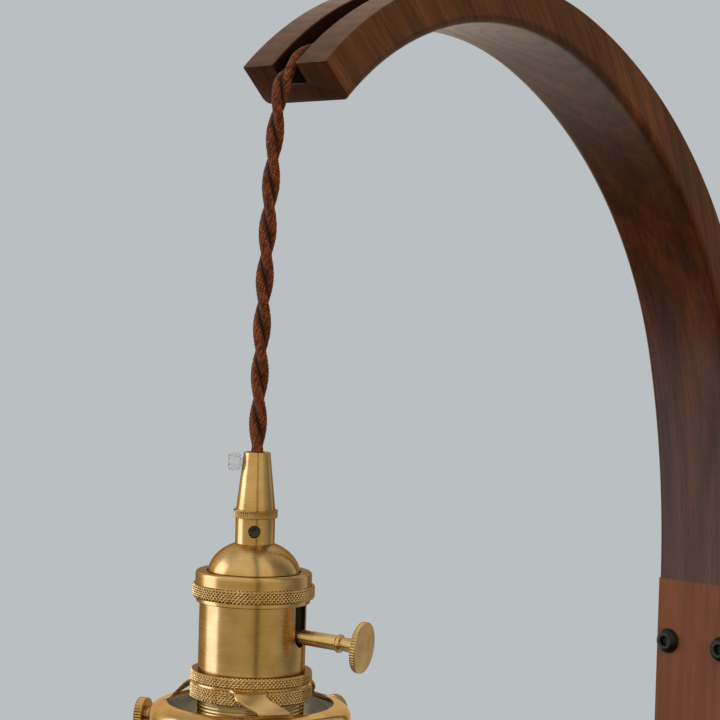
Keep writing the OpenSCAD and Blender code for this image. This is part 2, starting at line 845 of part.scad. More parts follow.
module glass_shade() {
    steps = 24;
    walls = [for (k = [0 : steps]) [bell_r(k / steps), shade_neck_end - shade_h * k / steps]];
    color(clear_glass)
        turned(concat(
            [[neck_r - shade_wall, shade_top], [neck_r + bead_r, shade_top]],
            [[neck_r + bead_r, shade_top - 2 * bead_r], [neck_r, shade_top - 2 * bead_r - bead_run]],
            walls,
            [for (p = reversed(walls)) [p[0] - shade_wall, p[1]]]
        ));
}

module bulb_cap()
    color(steel_zinc)
        turned([
            [bulb_cap_r - bulb_cap_wall, bulb_cap_end], [bulb_cap_r, bulb_cap_end],
            [bulb_cap_r, bulb_shoulder_z],
            [bulb_tip_r, bulb_tip_z], [insulator_r, bulb_tip_z], [insulator_r, insulator_z],
            [bulb_cap_r - bulb_cap_wall, bulb_shoulder_z - bulb_cap_wall]
        ]);

module bulb_insulator()
    color(phenolic)
        turned([
            [0, insulator_z], [insulator_r, insulator_z], [insulator_r, bulb_tip_z],
            [button_r, bulb_cap_top - eps], [0, bulb_cap_top - eps]
        ]);

// Outline of the bulb's glass: a neck that runs into a round end
function bulb_outline(inset) = concat(
    [[bulb_throat_r - inset, bulb_cap_end + bulb_seat], [bulb_throat_r - inset, bulb_cap_end - cut]],
    [for (a = [bulb_start : -6 : -86])
        [(bulb_d / 2 - inset) * cos(a), -bulb_drop + (bulb_d / 2 - inset) * sin(a)]],
    [[0, -bulb_drop - bulb_d / 2 + inset]]
);

module bulb_glass() {
    inner = bulb_outline(bulb_wall);
    color(clear_glass)
        turned(concat(bulb_outline(0), reversed(inner)));
}

module bulb_stem()
    color(clear_glass)
        turned([
            [0, stem_end], [stem_tip_r, stem_end], [stem_r, bulb_cap_end - stem_flare],
            [bulb_throat_r - bulb_wall, bulb_cap_end], [bulb_throat_r - bulb_wall, bulb_cap_end + stem_foot],
            [0, bulb_cap_end + stem_foot]
        ]);

module bulb_filament()
    color("#e7c46a")
        at_holder()
            translate([0, 0, stem_end - eps]) {
                translate([0, 0, -support_l]) cylinder(d = support_d, h = support_l);
                for (k = [0 : 3])
                    rotate(90 * k) {
                        translate([filament_r, 0, -filament_low]) cylinder(d = filament_d, h = filament_l);
                        for (z = [0, filament_l - spreader_t])
                            translate([0, -spreader_t / 2, z - filament_low])
                                cube([filament_r, spreader_t, spreader_t]);
                    }
            }

module switch_key()
    color(brass)
        key_frame()
            rotate_extrude()
                polygon([
                    [0, cam_l / 2 + eps], [key_stem_d / 2, cam_l / 2 + eps], [key_stem_d / 2, key_stem_r],
                    [key_bead_r, key_stem_r + key_ease], [key_bead_r, key_stem_r + key_bead_t],
                    [key_throat_r, key_stem_r + key_bead_t + key_ease], [key_boss_r, key_disc_r],
                    [key_disc_d / 2 - key_ease, key_disc_r], [key_disc_d / 2, key_disc_r + key_ease],
                    [key_disc_d / 2, key_disc_r + key_disc_t - key_ease],
                    [key_disc_d / 2 - key_ease, key_disc_r + key_disc_t], [0, key_disc_r + key_disc_t]
                ]);

module switch_cam()
    color(nylon)
        key_frame() translate([0, 0, -cam_l / 2]) cylinder(d = cam_d, h = cam_l);

base_post();
arm();
wall_plate();
post_screws();
inlet_grommet();
terminal_block();
block_screws();
earth_screw();
arm_cord();
cord_bend();
cord_drop();
cord_cone();
cord_lock_screw();
holder_cord();
cap_dome();
neck_grub_screw();
union_ring();
socket_shell();
switch_block();
switch_terminals();
ceramic_insert();
screw_shell();
centre_contact();
upper_shade_ring();
lower_shade_ring();
shade_carrier();
glass_shade();
bulb_cap();
bulb_insulator();
bulb_glass();
bulb_stem();
bulb_filament();
switch_key();
switch_cam();
thumbscrew_1();
thumbscrew_2();
thumbscrew_3();
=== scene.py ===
import bpy
import numpy as np
from mathutils import Matrix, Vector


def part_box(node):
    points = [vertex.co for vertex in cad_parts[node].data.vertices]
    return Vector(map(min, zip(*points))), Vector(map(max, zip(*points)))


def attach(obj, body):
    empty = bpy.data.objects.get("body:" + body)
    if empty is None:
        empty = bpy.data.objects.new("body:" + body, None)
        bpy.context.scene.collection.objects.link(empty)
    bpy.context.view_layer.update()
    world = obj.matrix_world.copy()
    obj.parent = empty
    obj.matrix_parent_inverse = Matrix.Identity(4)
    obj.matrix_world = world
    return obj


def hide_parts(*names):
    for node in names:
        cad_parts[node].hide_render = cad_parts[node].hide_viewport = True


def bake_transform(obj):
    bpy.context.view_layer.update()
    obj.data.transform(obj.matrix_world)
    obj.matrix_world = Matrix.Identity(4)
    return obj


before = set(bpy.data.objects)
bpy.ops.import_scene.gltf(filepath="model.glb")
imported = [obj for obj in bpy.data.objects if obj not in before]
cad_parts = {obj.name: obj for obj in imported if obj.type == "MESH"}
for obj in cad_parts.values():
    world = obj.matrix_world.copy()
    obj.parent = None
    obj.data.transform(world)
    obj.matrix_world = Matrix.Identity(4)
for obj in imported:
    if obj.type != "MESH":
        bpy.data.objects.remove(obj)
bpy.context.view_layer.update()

# Wall lamp: an arched walnut arm on a wall post, and a brass lampholder with a switch key, hung on a cord.
# The frame is in metres: the wall is the plane y = 0, +Y points into it and +Z is up. Sizes are written in mm.
mm = 0.001

# Camera: it stands to the right of the lamp and a little above the holder, with a long lens on a 36 mm frame,
# so the lamp is seen 44 degrees round from the front and 2 degrees from above, with a slight lean.
camera_at = np.array([0.51445, -0.78799, 0.24372])
camera_round, camera_down, camera_lean = np.radians([43.592, 1.801, 1.662])
back = np.array([np.sin(camera_round) * np.cos(camera_down),
                 -np.cos(camera_round) * np.cos(camera_down),
                 np.sin(camera_down)])
level_right = np.array([np.cos(camera_round), np.sin(camera_round), 0.0])
level_up = np.cross(back, level_right)
camera_right = np.cos(camera_lean) * level_right + np.sin(camera_lean) * level_up
camera_up = np.cos(camera_lean) * level_up - np.sin(camera_lean) * level_right


def placed(x_axis, y_axis, z_axis, at):
    """The matrix of an object with these axes at a point."""
    matrix = np.eye(4)
    matrix[:3] = np.column_stack([x_axis, y_axis, z_axis, at])
    return Matrix(matrix.tolist())


camera_data = bpy.data.cameras.new("camera")
camera_data.lens = 104.51
camera_data.sensor_width = 36.0
camera_data.clip_start = 0.01
camera = bpy.data.objects.new("camera", camera_data)
camera.matrix_world = placed(camera_right, camera_up, back, camera_at)
bpy.context.scene.collection.objects.link(camera)
bpy.context.scene.camera = camera
bpy.context.scene.view_settings.view_transform = "Standard"


# Cord: two cotton-braided strands laid round each other in a left-handed twist. It runs in the arm's slot,
# bends over the slot's end and hangs into the holder's cone, so it is three pieces, cut where the joints are.
def linear(hex_colour):
    """The linear colour, with an alpha of 1, of an sRGB hex value."""
    c = np.array([int(hex_colour[k:k + 2], 16) for k in (1, 3, 5)]) / 255
    c = np.where(c <= 0.04045, c / 12.92, ((c + 0.055) / 1.055) ** 2.4)
    return (*c.tolist(), 1.0)


def add_node(tree, kind, inputs=None, out=0, stops=(), **settings):
    """Adds one shader node and gives back one of its outputs.

    An input that is given a socket is linked to it, a hex colour is made linear, and another value is set.
    A colour ramp takes stops of a place from 0 to 1 and a hex colour.
    """
    made = tree.nodes.new("ShaderNode" + kind)
    for key, value in settings.items():
        setattr(made, key, value)
    for key, value in (inputs or {}).items():
        if isinstance(value, bpy.types.NodeSocket):
            tree.links.new(value, made.inputs[key])
        else:
            made.inputs[key].default_value = linear(value) if isinstance(value, str) else value
    for k, (place, colour) in enumerate(stops):
        points = made.color_ramp.elements
        point = points[k] if k < 2 else points.new(place)
        point.position = place
        point.color = linear(colour)
    return made.outputs[out] if len(made.outputs) else made


# What a Mix node is set to where it blends two colours, and where it multiplies them
blended = {"out": 2, "data_type": "RGBA"}
multiplied = {**blended, "blend_type": "MULTIPLY"}


def start_material(name):
    """A new material, its node tree, and the object coordinates, in metres, that its patterns follow."""
    material = bpy.data.materials.new(name)
    material.use_nodes = True
    tree = material.node_tree
    tree.nodes.clear()
    return material, tree, add_node(tree, "TexCoord", out="Object")


def skin(tree, sockets):
    """Ends a material: a principled shader with these sockets, joined to the output."""
    shader = add_node(tree, "BsdfPrincipled", sockets)
    add_node(tree, "OutputMaterial", {"Surface": shader})


def make_piece(name, grids, material, smooth_to=40.0, attributes=None):
    """One mesh object from grids of points, in metres.

    Each grid is (points, wrap rows, wrap columns, lids): points are rows by columns by 3, neighbours make
    quads, a wrapped side joins its end to its start, and lids close the first and last row, a flat face each.
    The UV map holds the distances round a row and along a column, in millimetres.
    """
    points, quads, uvs, lids, start = [], [], [], [], 0
    for grid, wrap_rows, wrap_columns, has_lids in grids:
        rows, columns = grid.shape[:2]
        r = np.arange(rows if wrap_rows else rows - 1)[:, None]
        c = np.arange(columns if wrap_columns else columns - 1)[None, :]
        r, c = np.broadcast_arrays(r, c)
        r2, c2 = (r + 1) % rows, (c + 1) % columns
        corners = [r * columns + c, r * columns + c2, r2 * columns + c2, r2 * columns + c]
        quads.append(np.stack(corners, axis=-1).reshape(-1, 4) + start)
        across = np.linalg.norm(np.roll(grid, -1, axis=1) - grid, axis=2).max(axis=0)
        along = np.linalg.norm(np.roll(grid, -1, axis=0) - grid, axis=2).max(axis=1)
        u = np.concatenate([[0.0], np.cumsum(across)]) / mm
        v = np.concatenate([[0.0], np.cumsum(along)]) / mm
        uv = [(u[c], v[r]), (u[c + 1], v[r]), (u[c + 1], v[r + 1]), (u[c], v[r + 1])]
        uvs.append(np.stack([np.stack(pair, axis=-1) for pair in uv], axis=2).reshape(-1, 2))
        if has_lids:
            lids.append((np.arange(columns)[::-1] + start).tolist())
            lids.append((np.arange(columns) + (rows - 1) * columns + start).tolist())
        points.append(grid.reshape(-1, 3))
        start += rows * columns
    mesh = bpy.data.meshes.new(name)
    mesh.from_pydata(np.concatenate(points).tolist(), [], np.concatenate(quads).tolist() + lids)
    uv = np.zeros((len(mesh.loops), 2))
    drawn = np.concatenate(uvs)
    uv[:len(drawn)] = drawn
    mesh.uv_layers.new(name="surface").data.foreach_set("uv", uv.ravel())
    for key, values in (attributes or {}).items():
        made = mesh.attributes.new(key, "FLOAT_VECTOR", "POINT")
        made.data.foreach_set("vector", np.asarray(values, dtype=np.float32).ravel())
    mesh.polygons.foreach_set("use_smooth", np.arange(len(mesh.polygons)) < len(mesh.polygons) - len(lids))
    mesh.set_sharp_from_angle(angle=np.radians(smooth_to))
    mesh.materials.append(material)
    mesh.update()
    piece = bpy.data.objects.new(name, mesh)
    bpy.context.scene.collection.objects.link(piece)
    return piece


def distances(points):
    """How far each point is from the first, measured along the points."""
    return np.concatenate([[0.0], np.cumsum(np.linalg.norm(np.diff(points, axis=0), axis=1))])


def smooth_route(route, step):
    """Points at an even step along the curve of cubic pieces through a route, and their distances along it."""
    at = distances(route)
    slope = np.gradient(route, at, axis=0)
    s = np.linspace(0.0, at[-1], max(2, int(round(at[-1] / step)) + 1))
    k = np.clip(np.searchsorted(at, s, side="right") - 1, 0, len(at) - 2)
    gap = (at[k + 1] - at[k])[:, None]
    t = (s - at[k])[:, None] / gap
    curve = ((1 + 2 * t) * (1 - t) ** 2 * route[k] + t * (1 - t) ** 2 * gap * slope[k]
             + t ** 2 * (3 - 2 * t) * route[k + 1] - t ** 2 * (1 - t) * gap * slope[k + 1])
    return curve, s


def unit(vectors):
    """Vectors at a length of 1."""
    return vectors / np.linalg.norm(vectors, axis=-1, keepdims=True)


strand_r = 1.84 * mm
lay_r = 1.3 * mm
lay_pitch = 32.7 * mm
braid_cells = 8
braid_pitch = 1.7 * mm
braid_rise = 0.24 * mm
crease_shade_from, crease_shade_to = 1.35, 2.3
drift_round, drift_along = 2.3 * mm, 3.1 * mm


def twisted_pair(route, start, step, sides):
    """Two strands wound round a route, each point's braid height and painted crease shade from 0 to 1, and the
    length.

    A strand's middle is the route plus the lay radius turned by one circle a pitch, left-handed; its skin is a
    tube whose radius swells by the product of a cosine round the strand and a cosine along it, as a braid does,
    and sines shift both a little, so that the braid isn't even. The painted crease shade grows with the angle
    from the strand's outermost line, up to where it meets the other strand.
    """
    curve, s = smooth_route(route, step)
    tangent = unit(np.gradient(curve, s, axis=0))
    across = unit(np.array([1.0, 0.0, 0.0]) - tangent * tangent[:, :1])
    beside = np.cross(tangent, across)
    skins, braids = [], []
    angle = np.linspace(0.0, 2 * np.pi, sides, endpoint=False)[None, :]
    # Painted shade: the skin darkens as it turns in towards the other strand, into the crease between them.
    crease_shade = np.clip((np.pi - np.abs(np.pi - angle) - crease_shade_from) / (crease_shade_to - crease_shade_from), 0.0, 1.0)
    for half_turn in (0.0, np.pi):
        turn = (half_turn - 2 * np.pi * (start + s) / lay_pitch)[:, None]
        out = np.cos(turn) * across + np.sin(turn) * beside
        middle = curve + lay_r * out
        way = unit(np.gradient(middle, s, axis=0))
        out = unit(out - way * np.sum(out * way, axis=1, keepdims=True))
        side = np.cross(way, out)
        reach = (start + s)[:, None]
        weave = (np.cos(braid_cells * angle + 0.8 * np.sin(2 * angle + reach / drift_round))
                 * np.cos(2 * np.pi * reach / braid_pitch + 0.9 * np.sin(3 * angle - reach / drift_along)))
        radius = (strand_r - braid_rise * (0.5 - 0.5 * weave))[:, :, None]
        ring = np.cos(angle)[:, :, None] * out[:, None] + np.sin(angle)[:, :, None] * side[:, None]
        skins.append(middle[:, None] + radius * ring)
        braids.append(np.stack([0.5 + 0.5 * weave, crease_shade + 0 * weave, 0 * weave], axis=-1).reshape(-1, 3))
    return skins, np.concatenate(braids), s[-1]


def braided_cotton():
    """Matt brown cotton braid over wire: crowns painted light as highlight, gaps and the twist's crease painted
    dark as shade.
    """
    material, tree, place = start_material("braided cotton")
    braid = add_node(tree, "Attribute", out="Vector", attribute_name="braid")
    height = add_node(tree, "SeparateXYZ", {0: braid}, out="X")
    patches = add_node(tree, "TexNoise", {"Vector": place, "Scale": 1 / (1.7 * mm), "Detail": 4.0})
    # The yarn's colour follows the braid's height: painted shade in the gaps, painted highlight on the crowns.
    yarn_shade_and_highlight = add_node(tree, "ValToRGB", {"Fac": height},
                    stops=((0.02, "#361407"), (0.98, "#bd6c38"), (0.28, "#6e3015"), (0.7, "#833f1c")))
    worn = add_node(tree, "ValToRGB", {"Fac": patches}, stops=((0.36, "#8a8a8a"), (0.62, "#ffffff")))
    colour = add_node(tree, "Mix", {0: 1.0, 6: yarn_shade_and_highlight, 7: worn}, **multiplied)
    # Painted shade: the crease between the strands is blended towards near black.
    colour = add_node(tree, "Mix", {0: height.node.outputs["Y"], 6: colour, 7: "#160703"}, **blended)
    fibre = add_node(tree, "TexNoise", {"Vector": place, "Scale": 1 / (0.2 * mm), "Detail": 2.0})
    bump = add_node(tree, "Bump", {"Height": fibre, "Strength": 0.25, "Distance": 0.05 * mm})
    skin(tree, {"Base Color": colour, "Roughness": 0.8, "Sheen Weight": 0.06, "Sheen Roughness": 0.4,
                "Normal": bump})
    return material


def cord_piece(name, route, start, step, sides):
    """A piece of the twisted pair along part of the cord's way; its length is given back with it."""
    skins, braid, length = twisted_pair(route, start, step, sides)
    grids = [(grid, False, True, True) for grid in skins]
    piece = make_piece(name, grids, cotton, 60.0, {"braid": braid})
    return piece, length


def arc(centre, radius, first, last, count, upright=None):
    """Points of a plane between two angles in degrees, on a circle, or on an ellipse with an upright radius."""
    a = np.radians(np.linspace(first, last, count))
    upright = radius if upright is None else upright
    return np.column_stack([centre[0] + radius * np.cos(a), centre[1] + upright * np.sin(a)])


# The arm's three bends, from the seam up, each as its middle in y and z, inner radius, first and last angle
post_lo, post_hi = (np.array(corner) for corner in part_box("base_post"))
seam_z, post_front = post_hi[2], post_lo[1]
arm_t = 17 * mm
leg_r, haunch_r, tip_r = 350 * mm, 178 * mm, 118 * mm
leg_end, haunch_end, tip_end = 16.0, 68.0, 135.0
leg_c = np.array([post_front - leg_r, seam_z])
haunch_c = arc(leg_c, leg_r - haunch_r, leg_end, leg_end, 1)[0]
tip_c = arc(haunch_c, haunch_r - tip_r, haunch_end, haunch_end, 1)[0]
bends = ((leg_c, leg_r, 0.0, leg_end), (haunch_c, haunch_r, leg_end, haunch_end),
         (tip_c, tip_r, haunch_end, tip_end))

# The cord lies low and to one side in the slot, and rises to the slot's middle over the last degrees of the tip
cord_seat, cord_low, cord_aside = 3.5 * mm, 5.4 * mm, 2.0 * mm
rise_level, rise_over = 2.0, 10.0
in_post = 60 * mm
hanging_route = np.array([
    (-289.6, 315.8), (-290.9, 311.0), (-291.8, 305.5), (-292.6, 299.0), (-293.4, 290.0), (-294.1, 280.0),
    (-294.8, 268.0), (-295.4, 255.0), (-296.0, 242.0), (-296.5, 229.0), (-296.8, 216.0), (-297.0, 203.0),
    (-297.0, 191.0), (-297.0, 185.0)]) * mm
bend_points = 4
twist_start = 3.0 * mm


def s_curve(t):
    """From 0 to 1 in one S, three squares less two cubes, and level on either side."""
    t = np.clip(t, 0.0, 1.0)
    return t * t * (3 - 2 * t)


slot_way = [arc(c, r + arm_t - cord_low, a, b, 24)[:-1] for c, r, a, b in bends[:2]]
tip_turn = np.linspace(haunch_end, tip_end, 40)
rise = 1 - s_curve((tip_end - tip_turn - rise_level) / rise_over)
tip_way = np.concatenate([arc(tip_c, tip_r + arm_t - cord_low + (cord_low - cord_seat) * h, a, a, 1)
                          for a, h in zip(tip_turn, rise)])
slot_way = np.concatenate([[(slot_way[0][0, 0], seam_z - in_post)], *slot_way, tip_way])
hanging_way = np.concatenate([tip_way[-1:], hanging_route])
aside = cord_aside * (1 - np.concatenate([np.zeros(len(slot_way) - len(rise)), rise]))
slot_way = np.column_stack([aside, slot_way])
hanging_way = np.insert(hanging_way, 0, 0.0, axis=1)

cotton = braided_cotton()
arm_cord, arm_cord_length = cord_piece("cord_in_arm", slot_way, twist_start, 0.5 * mm, 24)
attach(arm_cord, "lamp_base")
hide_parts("arm_cord")

cord_bend, bend_length = cord_piece("cord_at_bend", hanging_way[:bend_points + 1],
                                    twist_start + arm_cord_length, 0.25 * mm, 40)
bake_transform(cord_bend)
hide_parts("cord_bend")

drop_way = hanging_way[bend_points:]
cord_drop, drop_length = cord_piece("cord_hanging", drop_way, twist_start + arm_cord_length + bend_length,
                                    0.25 * mm, 40)
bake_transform(cord_drop)
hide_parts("cord_drop")


# Studio: the camera and glass see a plain pale grey backdrop. Metal and wood see a pale wall behind the lamp
# that dims to the right, a warm room in front, dark below and at the camera's stand, and a window to the left.
backdrop = "#babfc2"
world = bpy.data.worlds.new("studio")
world.use_nodes = True
bpy.context.scene.world = world
sky = world.node_tree
sky.nodes.clear()
direct = add_node(sky, "LightPath", out="Is Camera Ray")
rays = direct.node.outputs
direct = add_node(sky, "Math", {0: direct, 1: rays["Is Transmission Ray"]}, operation="ADD", use_clamp=True)
way = add_node(sky, "TexCoord", out="Generated")
left_right = add_node(sky, "SeparateXYZ", {0: way}, out="X")
ways = left_right.node.outputs
left_right = add_node(sky, "MapRange", {"Value": left_right, "From Min": -1.0, "From Max": 1.0})
wall = add_node(sky, "ValToRGB", {"Fac": left_right},
                stops=((0.18, "#f4e2ce"), (0.96, "#a89f8c"), (0.53, "#d6cdbe"), (0.72, "#8f897f"),
                       (0.82, "#76726a")))
low_high = add_node(sky, "MapRange", {"Value": ways["Z"], "From Min": -1.0, "From Max": 1.0})
room = add_node(sky, "ValToRGB", {"Fac": low_high},
                stops=((0.2, "#3a332c"), (0.9, "#e6dcc4"), (0.33, "#5d5343"), (0.45, "#d2c094"),
                       (0.6, "#dccb9e")))
towards_wall = add_node(sky, "MapRange", {"Value": ways["Y"], "From Min": 0.05, "From Max": 0.25},
                        interpolation_type="SMOOTHSTEP")
room = add_node(sky, "Mix", {0: towards_wall, 6: room, 7: wall}, **blended)
stand_turn = np.radians(12)
stand = np.cos(stand_turn) * level_right - np.sin(stand_turn) * np.array([back[0], back[1], 0.0])
beside_stand = add_node(sky, "VectorMath", {0: way, 1: tuple(stand)}, out="Value", operation="DOT_PRODUCT")
beside_stand = add_node(sky, "Math", {0: beside_stand}, operation="ABSOLUTE")
stand_dark = add_node(sky, "MapRange", {"Value": beside_stand, "From Min": 0.03, "From Max": 0.12,
                                        "To Min": 0.25, "To Max": 1.0})
behind = add_node(sky, "VectorMath", {0: way, 1: tuple(back)}, out="Value", operation="DOT_PRODUCT")
behind = add_node(sky, "Math", {0: behind, 1: 0.0}, operation="GREATER_THAN")
level = add_node(sky, "Mix", {0: behind, 2: 1.0, 3: stand_dark})
high = add_node(sky, "MapRange", {"Value": ways["Z"], "From Min": 0.4, "From Max": 0.65})
ceiling = add_node(sky, "MapRange", {"Value": ways["X"], "From Min": -0.6, "From Max": -0.35,
                                     "To Min": 0.65, "To Max": 1.0})
ceiling = add_node(sky, "Mix", {0: high, 2: 1.0, 3: ceiling})
level = add_node(sky, "Math", {0: level, 1: ceiling}, operation="MULTIPLY")
level = add_node(sky, "Mix", {0: rays["Is Diffuse Ray"], 2: level, 3: 0.95})
far = add_node(sky, "Background", {"Color": backdrop, "Strength": 1.0})
around = add_node(sky, "Background", {"Color": room, "Strength": level})
add_node(sky, "OutputWorld", {"Surface": add_node(sky, "MixShader", {0: direct, 1: around, 2: far})})


def soft_box(name, at, aim, width, height, radiance, colour="#ffffff", mirrored=True):
    """A rectangular lamp of even radiance that faces a point.

    It doesn't show through glass, and metal may be kept from mirroring it.
    """
    data = bpy.data.lights.new(name, "AREA")
    data.shape = "RECTANGLE"
    data.size, data.size_y = width, height
    data.energy = radiance * np.pi * width * height
    data.color = linear(colour)[:3]
    box = bpy.data.objects.new(name, data)
    away = unit(np.array(at) - np.array(aim))
    beside = unit(np.cross([0.0, 0.0, 1.0], away))
    box.matrix_world = placed(beside, np.cross(away, beside), away, at)
    box.visible_transmission = False
    box.visible_glossy = mirrored
    bpy.context.scene.collection.objects.link(box)


soft_box("window", (-1.02, -1.123, 0.25), (0.0, -0.297, 0.15), 0.86, 1.7, 1.8, "#e0e7ff")
soft_box("room_left", (-0.8, -1.2, 0.7), (0.0, -0.2, 0.2), 0.8, 0.8, 0.9, "#f4f7ff", False)
soft_box("room_right", (1.2, -0.6, 0.7), (0.0, -0.15, 0.25), 0.9, 0.9, 2.2, "#ffe9cf", False)

floor_z, floor_r, floor_y = -0.2, 0.8, -0.15
floor_y_line, floor_x_line = np.meshgrid(*[np.linspace(-floor_r, floor_r, 25)] * 2, indexing="ij")
floor_grid = np.stack([floor_x_line, floor_y + floor_y_line, floor_z + 0 * floor_x_line], axis=-1)


def pale_floor():
    """Matt pale paint that fades to nothing towards the floor's edge, so no horizon shows."""
    material, tree, place = start_material("pale floor")
    from_middle = add_node(tree, "VectorMath", {0: place, 1: (0.0, -floor_y, -floor_z)}, operation="ADD")
    reach = add_node(tree, "VectorMath", {0: from_middle}, out="Value", operation="LENGTH")
    fade = add_node(tree, "MapRange", {"Value": reach, "From Min": 0.55 * floor_r, "From Max": 0.98 * floor_r,
                                       "To Min": 1.0, "To Max": 0.0}, interpolation_type="SMOOTHSTEP")
    skin(tree, {"Base Color": "#cad9ee", "Roughness": 0.9, "Alpha": fade})
    return material


floor = make_piece("floor", [(floor_grid, False, False, False)], pale_floor())
floor.visible_glossy = False
floor.visible_diffuse = False


# Wall plate: a pressed steel plate, zinc plated, let into the post's back, with two threaded bosses a row.
# The supply cable comes in through its rubber grommet to a nylon terminal block and an earth screw.
def coated_steel(name, cloud, detail, dark, light, dullest, metallic):
    """Plated or blackened steel: metal whose colour and shine vary in clouds of a size in millimetres."""
    material, tree, place = start_material(name)
    clouds = add_node(tree, "TexNoise", {"Vector": place, "Scale": 1 / (cloud * mm), "Detail": detail})
    colour = add_node(tree, "ValToRGB", {"Fac": clouds}, stops=((0.3, dark), (0.7, light)))
    rough = add_node(tree, "MapRange", {"Value": clouds, "To Min": 0.28, "To Max": dullest})
    skin(tree, {"Base Color": colour, "Metallic": metallic, "Roughness": rough})
    return material


def moulded(name, dark, light, roughness, more=None):
    """A moulded or fired part: nearly even colour with a faint mottle, and the mould's fine grain as bump."""
    material, tree, place = start_material(name)
    mottle = add_node(tree, "TexNoise", {"Vector": place, "Scale": 1 / (4.5 * mm), "Detail": 3.0})
    colour = add_node(tree, "ValToRGB", {"Fac": mottle}, stops=((0.3, dark), (0.7, light)))
    grain = add_node(tree, "TexNoise", {"Vector": place, "Scale": 1 / (0.4 * mm), "Detail": 1.0})
    bump = add_node(tree, "Bump", {"Height": grain, "Strength": 0.12, "Distance": 0.03 * mm})
    skin(tree, {"Base Color": colour, "Roughness": roughness, "Normal": bump, **(more or {})})
    return material


def finish_node(material, *names):
    """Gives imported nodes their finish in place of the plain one."""
    for name in names:
        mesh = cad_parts[name].data
        mesh.materials.clear()
        mesh.materials.append(material)


# Zinc is a pale blue-grey, softly clouded by the plating bath
zinc = coated_steel("zinc-plated steel", 11.0, 5.0, "#a9afb4", "#c6cbce", dullest=0.48, metallic=1.0)
nylon = moulded("natural nylon", "#d8d6cc", "#e6e4dc", 0.45, {"Subsurface Weight": 0.1})
finish_node(zinc, "wall_plate")
finish_node(moulded("black rubber", "#131211", "#1d1b1a", 0.7), "inlet_grommet")
finish_node(nylon, "terminal_block", "switch_cam")


# Post: one upright block of reddish walnut, planed, eased along its edges and oiled. A bridle joint at its top
# takes the arm's tongue, and four screws from the front hold it on the plate.
def walnut(name, follow, pith, dark, mid, light, pore, gloss, streaky):
    """Oiled walnut: soft bands and streaks along the grain, growth rings, short open pores and a satin shine.

    The grain runs along the first part of a vector attribute, or up the piece where none is named. The growth
    rings are circles round a pith, which wander along the grain. Where an attribute is named, a second one
    called cut makes the sawn sides paler, partly their own tone and partly painted light from the right, and
    paints shade into the slot that the cutter left.
    """
    material, tree, place = start_material(name)
    if follow:
        grain = add_node(tree, "Attribute", out="Vector", attribute_name=follow)
    else:
        x = add_node(tree, "SeparateXYZ", {0: place}, out="X")
        parts = x.node.outputs
        grain = add_node(tree, "CombineXYZ", {0: parts["Z"], 1: x, 2: parts["Y"]})

    def stretched(along, across, detail):
        """Noise whose features are this long and this wide, in millimetres."""
        size = (1 / (along * mm), 1 / (across * mm), 1 / (across * mm))
        scaled = add_node(tree, "VectorMath", {0: grain, 1: size}, operation="MULTIPLY")
        return add_node(tree, "TexNoise", {"Vector": scaled, "Scale": 1.0, "Detail": detail, "Roughness": 0.55})

    ring_gap = 6.4
    ring = add_node(tree, "VectorMath", {0: grain, 1: pith}, operation="SUBTRACT")
    ring = add_node(tree, "VectorMath", {0: ring, 1: (0.05, 1.0, 1.0)}, operation="MULTIPLY")
    ring = add_node(tree, "VectorMath", {0: ring}, out="Value", operation="LENGTH")
    ring = add_node(tree, "Math", {0: stretched(170, 38, 1.5), 1: 20 * mm, 2: ring}, operation="MULTIPLY_ADD")
    ring = add_node(tree, "Math", {0: ring, 1: 1 / (ring_gap * mm)}, operation="MULTIPLY")
    ring = add_node(tree, "Math", {0: ring}, operation="FRACT")
    ring = add_node(tree, "ValToRGB", {"Fac": ring},
                    stops=((0.0, "#ffffff"), (1.0, "#ffffff"), (0.45, "#ececec"), (0.84, "#c0c0c0"),
                           (0.95, "#d8d8d8")))
    bands = stretched(150, 10, 3.0)
    streaks = stretched(27 / streaky, 1.1 / streaky, 5.0)
    pores = stretched(9, 0.42, 1.0)
    wood = add_node(tree, "ValToRGB", {"Fac": bands}, stops=((0.28, dark), (0.74, light), (0.5, mid)))
    lines = add_node(tree, "ValToRGB", {"Fac": streaks}, stops=((0.3, "#9a9a9a"), (0.62, "#ffffff")))
    wood = add_node(tree, "Mix", {0: streaky, 6: wood, 7: lines}, **multiplied)
    quiet = 0.6 * streaky
    if follow:
        cut = add_node(tree, "Attribute", out="Vector", attribute_name="cut")
        side = add_node(tree, "SeparateXYZ", {0: cut}, out="X")
        quiet = add_node(tree, "MapRange", {"Value": side, "To Min": 0.6, "To Max": 0.12})
    wood = add_node(tree, "Mix", {0: quiet, 6: wood, 7: ring}, **multiplied)
    open_pore = add_node(tree, "MapRange", {"Value": pores, "From Min": 0.6, "From Max": 0.72,
                                            "To Max": streaky})
    wood = add_node(tree, "Mix", {0: open_pore, 6: wood, 7: pore}, **blended)
    if follow:
        # Partly painted light: the sawn sides turn paler, partly their own tone and partly for the light from
        # the right. Painted shade: the slot is blended towards near black.
        paler_sides_and_painted_light = add_node(tree, "VectorMath", {0: wood, 1: (1.2, 1.5, 1.7)}, operation="MULTIPLY")
        wood = add_node(tree, "Mix", {0: side, 6: wood, 7: paler_sides_and_painted_light}, **blended)
        wood = add_node(tree, "Mix", {0: side.node.outputs["Y"], 6: wood, 7: "#1c0e08"}, **blended)
    rough = add_node(tree, "MapRange", {"Value": ring, "To Min": gloss + 0.1, "To Max": gloss})
    sunk = add_node(tree, "Bump", {"Height": open_pore, "Strength": 0.35, "Distance": 0.06 * mm}, invert=True)
    skin(tree, {"Base Color": wood, "Roughness": rough, "Normal": sunk, "Specular IOR Level": 0.36})
    return material


post_pith = (0.0, 0.03, 0.09)
red_walnut = walnut("reddish walnut", None, post_pith, "#723f20", "#824925", "#92572f", "#512b17", gloss=0.56,
                    streaky=0.4)
finish_node(red_walnut, "base_post")


